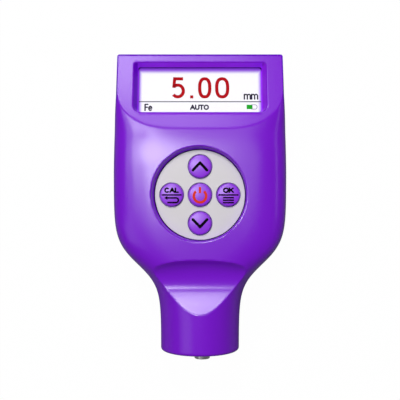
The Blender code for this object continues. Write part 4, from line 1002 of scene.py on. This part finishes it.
def displayPieces():
    paintOnly(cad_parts["lcd_panel"], lcdPaint())
    paintOnly(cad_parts["display_window"], windowPaint())
    p = display
    side = recess["viewHalfWidth"]
    marks = [ribbon([(-side, p["lineY"]), (0, p["lineY"]), (side, p["lineY"])], p["line"])]
    for entry in p["words"]:
        marks += words(*entry, p["wordStroke"])
    (left, right), (low, high) = p["cellX"], p["cellY"]
    middle, half = (low + high) / 2, (high - low) / 2
    cell = [(left, low), (right, low), *bow(right, middle, p["cellNose"], half, -90, 90, 12),
            (right, high), (left, high)]
    charge = ribbon([(x, middle) for x in p["chargeX"]], 2 * half)
    pieces = {
        "reading": (digitShapes(), printInk("redReading", rgb(186, 0, 5))),
        "displayMarks": (marks, printInk("darkMarks", rgb(44, 38, 58))),
        "cellOutline": (stroke(cell, p["cellStroke"]), printInk("paleOutline", rgb(170, 166, 178))),
        "chargeLevel": ([charge], printInk("greenCharge", rgb(24, 176, 24))),
    }
    for name, (shapes, ink) in pieces.items():
        dress(flatPiece(name, shapes, onPanel(p["ink"])), ink, "housing", "display_white")
    print("display made")


# Keypad

keyShape = {
    "radius": 4.05, "top": 27.0, "dome": 0.42, "domeShare": 0.55, "rounding": 0.50, "flange": 4.6,
    "flangeLow": 23.5, "flangeHigh": 24.3, "stem": 1.6, "stemLow": 20.9,
    "ink": 0.035,
}


def keyHeight(r):
    # the dome: a shallow parabola that ends where the rounded edge begins
    k = keyShape
    return k["top"] - k["dome"] * k["domeShare"] * (r / (k["radius"] - k["rounding"])) ** 2


def keyProfile():
    # dome, rounded edge, flange and stem, as (radius, height)
    k = keyShape
    flat = k["radius"] - k["rounding"]
    slope = math.atan(2 * k["domeShare"] * k["dome"] / flat)
    crown = [(r, keyHeight(r)) for r in np.linspace(0, flat, 9)[:-1]]
    centre = flat - k["rounding"] * math.sin(slope) + 0.02
    rounding = arc(centre, keyHeight(flat) - k["rounding"], k["rounding"], 90 - math.degrees(slope), 4, 8)
    foot = [(k["radius"], k["flangeHigh"]), (k["flange"], k["flangeHigh"]), (k["flange"], k["flangeLow"]),
            (k["stem"], k["flangeLow"]), (k["stem"], k["stemLow"]), (0, k["stemLow"])]
    return crown + rounding.tolist() + foot


plate = {"radius": 15.8, "low": 24.6, "high": 25.6, "edge": 0.14, "hole": 4.35}


def platePiece(paint):
    # a disc with five holes, its edges rounded
    p = plate
    points, faces = turnedPoints(
        [(0, p["low"]), (p["radius"] - 0.05, p["low"]), (p["radius"], p["low"] + 0.05),
         *arc(p["radius"] - p["edge"], p["high"] - p["edge"], p["edge"], 0, 90, 5).tolist(),
         (0, p["high"])], 160)
    piece = meshObject("keypadPlate", points + (0, keypadY, 0), faces)
    hole, top = p["hole"], p["high"]
    profile = [(0, p["low"] - 1), (hole, p["low"] - 1), (hole, top - 0.12), (hole + 0.03, top - 0.05),
               (hole + 0.15, top + 0.07), (hole + 0.15, top + 1), (0, top + 1)]
    points, faces = turnedPoints(profile, 72)
    holes = [(points + (x, keypadY + y, 0), faces) for x, y in keys.values()]
    cut(piece, holes, smoothUnder=30)
    return dress(piece, paint, "housing", "plate_silver", "keypad_plate")


legend = {
    "chevronHalf": 2.45, "chevronRise": 1.30, "chevronWidth": 0.98,
    "ringRadius": 2.16, "ringY": -0.45, "ringWidth": 0.90, "ringOpen": (130, 410),
    "barLow": 0.62, "barHigh": 2.75, "barWidth": 0.80,
    "wordLow": 0.66, "wordHigh": 2.58, "wordWidth": 0.55, "calHalf": 2.58, "okHalf": 1.93,
    "ruleY": -0.03, "ruleHalf": 3.5, "ruleWidth": 0.52,
    "menuY": (-1.0, -1.87, -2.74), "menuHalf": 1.95,
    "turnX": 1.55, "turnY": -1.88, "turnRadius": 0.82, "turnWidth": 0.58,
}


def onKey(x, y):
    # flat points laid on the dome of the key at (x, y)
    def place(points):
        z = keyHeight(np.hypot(points[:, 0], points[:, 1])) + keyShape["ink"]
        return np.column_stack([points[:, :2] + (x, y), z])
    return place


def chevron(sign):
    # two straight strokes that meet in a point at the top, or at the bottom if sign is -1
    g = legend
    tip = g["chevronRise"] * sign
    corners = [(-g["chevronHalf"], -tip), (0, tip), (g["chevronHalf"], -tip)]
    shapes = [ribbon(np.linspace(start, end, 12), g["chevronWidth"])
              for start, end in zip(corners, corners[1:])]
    turn = np.arange(20) * 2 * np.pi / 20
    circle = np.stack([np.cos(turn), np.sin(turn), np.zeros(20)], axis=1) * g["chevronWidth"] / 2
    shapes += [(circle + (x, y, 0), [list(range(20))]) for x, y in corners]
    return shapes


def powerSign():
    # an open ring and an upright bar
    g = legend
    turn = np.radians(np.linspace(*g["ringOpen"], 64))
    ring = g["ringRadius"] * np.stack([np.cos(turn), np.sin(turn)], axis=1) + (0, g["ringY"])
    bar = np.linspace((0, g["barLow"]), (0, g["barHigh"]), 10)
    return [ribbon(ring, g["ringWidth"]), ribbon(bar, g["barWidth"])]


def rule(y, half=legend["ruleHalf"]):
    # a level line
    return ribbon(np.linspace((-half, y), (half, y), 24), legend["ruleWidth"])


def returnSign():
    # a line that turns back, with a filled head at its left
    x, y, radius = (legend[key] for key in ("turnX", "turnY", "turnRadius"))
    turn = np.radians(np.linspace(90, -90, 24))
    bend = np.stack([x + radius * np.cos(turn), y + radius * np.sin(turn)], axis=1)
    high, low = y + radius, y - radius
    line = np.concatenate([[(-1.6, high), (0.0, high)], bend, [(0.0, low), (-1.5, low)]])
    head = np.array([(-2.55, high, 0), (-1.45, high + 0.74, 0), (-1.45, high - 0.74, 0)])
    return [ribbon(line, legend["turnWidth"]), (head, [[0, 2, 1]])]


def word(text, half):
    # a word in the upper half of a key
    return words(text, -half, half, legend["wordLow"], legend["wordHigh"], legend["wordWidth"])


def keypadPieces():
    platePiece(silverPaint())
    keyPaint = violetKeyPaint()
    black = printInk("blackLegend", (0.004, 0.003, 0.006))
    red = printInk("redLegend", rgb(214, 58, 42))
    line = rule(legend["ruleY"])
    menu = [rule(y, legend["menuHalf"]) for y in legend["menuY"]]
    legends = {
        "up": (chevron(1), black),
        "down": (chevron(-1), black),
        "power": (powerSign(), red),
        "left": ([*word("CAL", legend["calHalf"]), line, *returnSign()], black),
        "right": ([*word("OK", legend["okHalf"]), line, *menu], black),
    }
    points, faces = turnedPoints(keyProfile(), 96)
    for name, (x, y) in keys.items():
        cap = meshObject("keyCap_" + name, points + (x, keypadY + y, 0), faces)
        dress(cap, keyPaint, name + "_button", "key_violet", "key_" + name)
        shapes, ink = legends[name]
        marks = flatPiece("legend_" + name, shapes, onKey(x, keypadY + y))
        dress(marks, ink, name + "_button", "key_violet")
    print("keypad made")


def silverPaint():
    # matt silver with faint brushed lines across
    paint = Paint("silverPlate", (0.60, 0.58, 0.59), 0.55, Specular_IOR_Level=0.2)
    lines = paint.noise(0.10, 2.0, 0.6, (0.05, 1, 1))
    cloud = paint.noise(9.0, 2.0)
    paint.feed({
        "Base Color": paint.mix(cloud, (0.59, 0.57, 0.58), (0.62, 0.60, 0.61)),
        "Roughness": 0.55 + (lines - 0.5) * 0.16,
    })
    return paint.bump(lines, 0.0012)


def violetKeyPaint():
    # the housing's violet, a little lighter and softer
    paint = Paint("violetKeys", (0.24, 0.02, 0.66), 0.30, IOR=1.5)
    grain = paint.noise(0.22, 3.0, 0.6)
    cloud = paint.noise(5.0, 1.0)
    paint.feed({
        "Base Color": paint.mix(cloud, (0.23, 0.020, 0.64), (0.25, 0.024, 0.68)),
        "Roughness": 0.30 + (grain - 0.5) * 0.10,
    })
    return paint.bump(grain, 0.0012)


# Probe, door and screws

tipShape = {"radius": 2.8, "edge": 0.28, "length": 8.9, "poleRadius": 1.4, "poleLength": 10.0}
bushShape = {
    "bore": 3.1, "nose": 4.6, "edge": 0.25, "flangeLow": 2.3, "flangeHigh": 3.5, "back": 3.9,
}


def turnedInNeck(name, profile, node, closed=False):
    # a profile carried round the probe's axis, from the node's lower end
    points, faces = turnedPoints(profile, 96, closed)
    low, high = cornersOf(node)
    return meshObject(name, points[:, [0, 2, 1]] + ((low[0] + high[0]) / 2, low[1], axisZ), faces)


def probePieces(steel, black):
    t = tipShape
    end = t["length"] + t["poleLength"]
    profile = [(0, 0), (t["radius"] / 2, 0),
               *arc(t["radius"] - t["edge"], t["edge"], t["edge"], -90, 0, 8).tolist(),
               (t["radius"], t["length"]), (t["poleRadius"], t["length"]), (t["poleRadius"], end), (0, end)]
    dress(turnedInNeck("probeTip", profile, "probe_tip"), steel, "probe", "probe_steel", "probe_tip")

    low, high = cornersOf("probe_bush")
    b = bushShape
    flange, length = (high[0] - low[0]) / 2, high[1] - low[1]
    profile = [(b["bore"] + b["edge"], 0),
               *arc(b["nose"] - b["edge"], b["edge"], b["edge"], -90, 0, 5).tolist(),
               (b["nose"], b["flangeLow"]), (flange, b["flangeLow"]), (flange, b["flangeHigh"]),
               (b["back"], b["flangeHigh"]), (b["back"], length), (b["bore"], length),
               *arc(b["bore"] + b["edge"], b["edge"], b["edge"], 180, 270, 5).tolist()]
    bush = turnedInNeck("probeBush", profile, "probe_bush", closed=True)
    dress(bush, black, "housing", "black_plastic", "probe_bush")
    print("probe made")


doorShape = {
    "thick": 1.6, "edge": 0.35, "corner": 0.6, "dipRadius": 13.0, "dipDepth": 1.0, "dipFromEnd": 9.5,
    "tabHalf": 1.5, "webDepth": 0.3, "webLength": 0.8, "tabOverlap": 0.5, "tabLow": 0.5, "tabHigh": 1.3,
    "ridges": 5, "ridgeSpacing": 1.4, "ridgeHeight": 0.22, "ridgeHalf": 3.4, "ridgeWide": 0.28,
    "ridgeLift": 0.02,
}


def doorLeaf(low, high, leafLow, dipY):
    # rounded leaf with a round dip for the thumb, and two tabs on webs at its lower end
    d = doorShape
    middle, halfY, top = (leafLow + high[1]) / 2, (high[1] - leafLow) / 2, low[2] + d["thick"]
    turn = np.radians(np.linspace(0, 90, 5))
    insets, heights = d["edge"] * (1 - np.sin(turn)), low[2] + d["edge"] * (1 - np.cos(turn))
    rings = []
    for inset, z in [*zip(insets, heights), (0, top)]:
        ring = roundedRing(high[0] - inset, halfY - inset, d["corner"], d["corner"], 6)
        rings.append(np.column_stack([ring + (0, middle), np.full(len(ring), z)]))
    piece = meshObject("batteryDoor", *loftPoints(rings))
    points, faces = turnedPoints(arc(0, 0, d["dipRadius"], -90, 90, 49), 96)
    cut(piece, [(points + (0, dipY, low[2] + d["dipDepth"] - d["dipRadius"]), faces)])
    half, head = d["tabHalf"], top + d["tabHigh"]
    for startY, endY, foot in ((leafLow, leafLow + d["webLength"], top - d["webDepth"]),
                               (low[1], leafLow + d["tabOverlap"], top + d["tabLow"])):
        boxes = [boxPoints((x - half, startY, foot), (x + half, endY, head))
                 for x in (-bay["tabX"], bay["tabX"])]
        cut(piece, boxes, "UNION")
    return piece


def doorGrips(low, dipY):
    # ridges across the dip: half tubes that follow its ball and run out at both ends
    d = doorShape
    across = np.linspace(-d["ridgeHalf"], d["ridgeHalf"], 41)
    turn = np.radians(np.linspace(0, 360, 13)[:-1])
    taper = np.sqrt(np.clip(1 - (across / d["ridgeHalf"]) ** 8, 0.0, None)) + 0.001 / d["ridgeHeight"]
    grips = []
    for n in range(d["ridges"]):
        apart = (n - (d["ridges"] - 1) / 2) * d["ridgeSpacing"]
        ball = np.sqrt(d["dipRadius"] ** 2 - across**2 - apart**2)
        base = low[2] + d["dipDepth"] - d["dipRadius"] + ball + d["ridgeLift"]
        grips.append(loftPoints(np.stack([
            np.repeat(across[:, None], len(turn), 1),
            dipY + apart + d["ridgeWide"] * np.outer(taper, np.cos(turn)),
            base[:, None] - d["ridgeHeight"] * np.outer(taper, np.sin(turn)),
        ], axis=2)))
    return meshObject("doorGrips", *together(grips))


def doorPiece(paint):
    low, high = cornersOf("battery_door")
    dipY = high[1] - doorShape["dipFromEnd"]
    leaf = doorLeaf(low, high, low[1] + bay["tab"], dipY)
    dress(leaf, paint, "battery_cover", "housing_violet", "battery_door")
    dress(doorGrips(low, dipY), paint, "battery_cover", "housing_violet")
    print("battery door made")


screwShape = {
    "radius": 1.9, "edge": 0.55, "headHeight": 1.4, "cross": 1.15, "crossWidth": 0.42, "crossDepth": 0.8,
    "crest": 0.95, "root": 0.72, "pitch": 0.72, "turns": 13, "threadFrom": 2.0, "pointLength": 0.9,
}


def screwPieces(steel):
    # head, shank and thread as one turned profile, with a cross cut into the head
    s = screwShape
    for number in range(1, 5):
        node = f"case_screw_{number}"
        low, high = cornersOf(node)
        x, y = (low[:2] + high[:2]) / 2
        z = low[2]
        profile = [(0, z), *arc(s["radius"] - s["edge"], z + s["edge"], s["edge"], -90, 0, 6).tolist(),
                   (s["radius"], z + s["headHeight"]), (s["crest"], z + s["headHeight"])]
        for base in z + s["threadFrom"] + s["pitch"] * np.arange(s["turns"]):
            profile += [(s["crest"], base), (s["root"], base + s["pitch"] / 2)]
        profile += [(s["root"] - 0.02, high[2] - s["pointLength"]), (0, high[2])]
        points, faces = turnedPoints(profile, 48)
        piece = meshObject(f"caseScrew_{number}", points + (x, y, 0), faces)
        foot = z + s["crossDepth"]
        for halfX, halfY in ((s["cross"], s["crossWidth"] / 2), (s["crossWidth"] / 2, s["cross"])):
            cut(piece, [boxPoints((x - halfX, y - halfY, z - 1), (x + halfX, y + halfY, foot))])
        dress(piece, steel, "housing", "spring_steel", node)
    print("screws made")


# Finishes of the nodes that stay

inside = {
    "white_plastic": ["lcd_backlight", "lcd_frame", "probe_connector", *("plunger_" + key for key in keys)],
    "black_plastic": ["controller_chip", "probe_guide", "probe_lead", *("switch_" + key for key in keys)],
    "flex_film": ["lcd_flex"],
    "board_green": ["main_board"],
    "probe_steel": ["probe_barrel", "contact_negative", "contact_positive", "contact_bridge"],
    "spring_steel": ["probe_spring", "contact_spring_1", "contact_spring_2",
                     *(f"board_screw_{n}" for n in range(1, 5))],
    "copper_winding": ["probe_coil"],
    "cell_jacket": ["battery_1", "battery_2"],
}


def boardPaint():
    # green solder resist with copper tracks showing through
    paint = Paint("greenBoard", (0.012, 0.13, 0.05), 0.32, Coat_Weight=0.3)
    tracks = abs(paint.noise(2.2, 0.0) - 0.5).ramp(0.010, 0.030)
    paint.feed({"Base Color": paint.mix(tracks, (0.03, 0.22, 0.09), (0.010, 0.11, 0.045))})
    return paint.bump(1 - tracks, 0.02)


jacket = {"middleY": 22.0, "bandFrom": 9.0}     # the gold band, from the middle of the bay


def cellPaint():
    # dark jacket with a gold band towards the plus end; the two cells lie head to tail
    paint = Paint("cellJacket", (0.03, 0.03, 0.035), 0.28)
    x, y = paint.place(0), paint.place(1)
    along = (x > 0) * (jacket["middleY"] - y) + (x < 0) * (y - jacket["middleY"])
    band = along.ramp(jacket["bandFrom"], jacket["bandFrom"] + 0.1)
    return paint.feed({
        "Base Color": paint.mix(band, (0.025, 0.025, 0.03), (0.62, 0.33, 0.10)),
        "Metallic": band * 0.9,
        "Roughness": 0.24 + paint.noise(1.2, 3.0) * 0.14,
    })


def finishNodes(steel, springSteel, black):
    paints = {
        "white_plastic": plainPlastic("whitePlastic", (0.80, 0.80, 0.78), 0.45),
        "black_plastic": black,
        "flex_film": plainPlastic("amberFilm", (0.50, 0.22, 0.03), 0.30, 0.6, 0.002),
        "board_green": boardPaint(),
        "probe_steel": steel,
        "spring_steel": springSteel,
        "copper_winding": turnedMetal("copperWinding", (0.80, 0.36, 0.16), 0.30, (1, 4, 1), 0.25, 0.01),
        "cell_jacket": cellPaint(),
    }
    for slot, nodes in inside.items():
        for node in nodes:
            paintOnly(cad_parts[node], paints[slot])
    print("inner pieces finished")


# Studio

studio = {
    "cameraY": 3.1, "cameraZ": 284.25, "lens": 66.2,
    "world": 0.11, "distance": 0.9,
    "floorSize": 3.0, "floorInGloss": 0.06, "floorSeen": 0.985,      # shares of plain white
    # each panel: where it stands, towards x and y; half its width and height; its radiance
    "lamps": {
        "keyLight": (-0.135, 0.135, 0.105, 0.110, 18.0),
        "keyWing": (-0.35, 0.15, 0.10, 0.105, 9.0),
        "keyEdge": (-0.57, 0.15, 0.10, 0.105, 2.6),
        "rightGlow": (0.12, 0.12, 0.15, 0.12, 1.8),
        "rightEdge": (0.76, 0.17, 0.16, 0.07, 0.9),
        "farPanel": (-0.145, 0.60, 0.055, 0.085, 36.0),
        "bandLow": (-0.02, 0.43, 0.10, 0.05, 9.0),
        "bandMiddle": (0.0, 0.55, 0.075, 0.07, 12.0),
        "bandHigh": (0.0, 0.66, 0.075, 0.04, 7.0),
        "bandTop": (0.0, 0.78, 0.10, 0.08, 4.0),
        "neckGlow": (-0.62, -0.20, 0.11, 0.36, 0.40),
        "neckMiddle": (-0.60, -0.20, 0.11, 0.20, 0.45),
    },
}


def lamp(name, towardsX, towardsY, halfWide, halfHigh, radiance):
    # a panel that faces the object from this unit direction; its power is radiance by area
    direction = Vector((towardsX, towardsY, math.sqrt(1 - towardsX**2 - towardsY**2)))
    reach = studio["distance"]
    data = bpy.data.lights.new(name, "AREA")
    data.shape = "RECTANGLE"
    data.size = 2 * reach * halfWide / math.sqrt(1 - towardsX**2)
    data.size_y = 2 * reach * halfHigh / math.sqrt(1 - towardsY**2)
    data.energy = radiance * math.pi * data.size * data.size_y
    made = linked(name, data)
    made.location = direction * reach
    made.rotation_euler = (-direction).to_track_quat("-Z", "Y").to_euler()


def rayKinds(paint, *kinds):
    # one signal for each kind: 1 for rays of that kind, 0 for others
    return [paint.node("ShaderNodeLightPath", output=f"Is {kind} Ray") for kind in kinds]


def seenWhite(paint, glossShare, seenShare=1.0):
    # white to camera and clear pieces, partly to gloss, and the paint's own shader to all else
    camera, gloss, clear = rayKinds(paint, "Camera", "Glossy", "Transmission")
    share = (camera * seenShare).most(clear).most(gloss * glossShare)
    white = paint.node(paint.emitter, None, {"Color": (1, 1, 1), "Strength": 1.0})
    own = Signal(paint, paint.shader.outputs[0])
    mixed = paint.node("ShaderNodeMixShader", None, {0: share, 1: own, 2: white})
    paint.feed({"Surface": mixed}, paint.end)


def floorPiece():
    # one flat sheet; it is darker to the object than to the camera, so that little comes back up
    s = studio
    half = s["floorSize"] / 2
    corners = [(x * half, y * half, 0) for x, y in ((-1, -1), (1, -1), (1, 1), (-1, 1))]
    data = bpy.data.meshes.new("floor")
    data.from_pydata(corners, [], [(0, 1, 2, 3)])
    paint = Paint("whiteFloor", (0.85, 0.85, 0.85), 0.9, Specular_IOR_Level=0.0)
    camera, gloss = rayKinds(paint, "Camera", "Glossy")
    far = paint.mix(gloss, (0.42, 0.42, 0.42), (0.10, 0.10, 0.10))
    paint.feed({"Base Color": paint.mix(camera, far, (0.85, 0.85, 0.85))})
    seenWhite(paint, s["floorInGloss"], s["floorSeen"])
    data.materials.append(paint.material)
    linked("floor", data)


def cameraAbove():
    # straight above, looking down
    data = bpy.data.cameras.new("camera")
    data.lens = studio["lens"]
    data.clip_start = 0.01
    made = linked("camera", data)
    made.location = (0, studio["cameraY"] * mm, studio["cameraZ"] * mm)
    bpy.context.scene.camera = made


def studioPieces():
    floorPiece()
    world = bpy.data.worlds.new("studioWorld")
    bpy.context.scene.world = world
    world.use_nodes = True
    seenWhite(Sky(world), 0.0)
    for name, settings in studio["lamps"].items():
        lamp(name, *settings)
    cameraAbove()
    bpy.context.scene.view_settings.view_transform = "Standard"
    print("studio made")


def build():
    housingPaint = violetPlastic()
    steel = turnedMetal("brightSteel", (0.90, 0.90, 0.91), 0.28, (1, 8, 1))
    springSteel = turnedMetal("springSteel", (0.56, 0.56, 0.57), 0.28)
    black = plainPlastic("blackPlastic", (0.018, 0.018, 0.020), 0.45)
    frontShell(housingPaint)
    print("front shell made")
    rearShell(housingPaint)
    print("rear shell made")
    displayPieces()
    keypadPieces()
    probePieces(steel, black)
    doorPiece(housingPaint)
    screwPieces(springSteel)
    finishNodes(steel, springSteel, black)
    studioPieces()


build()
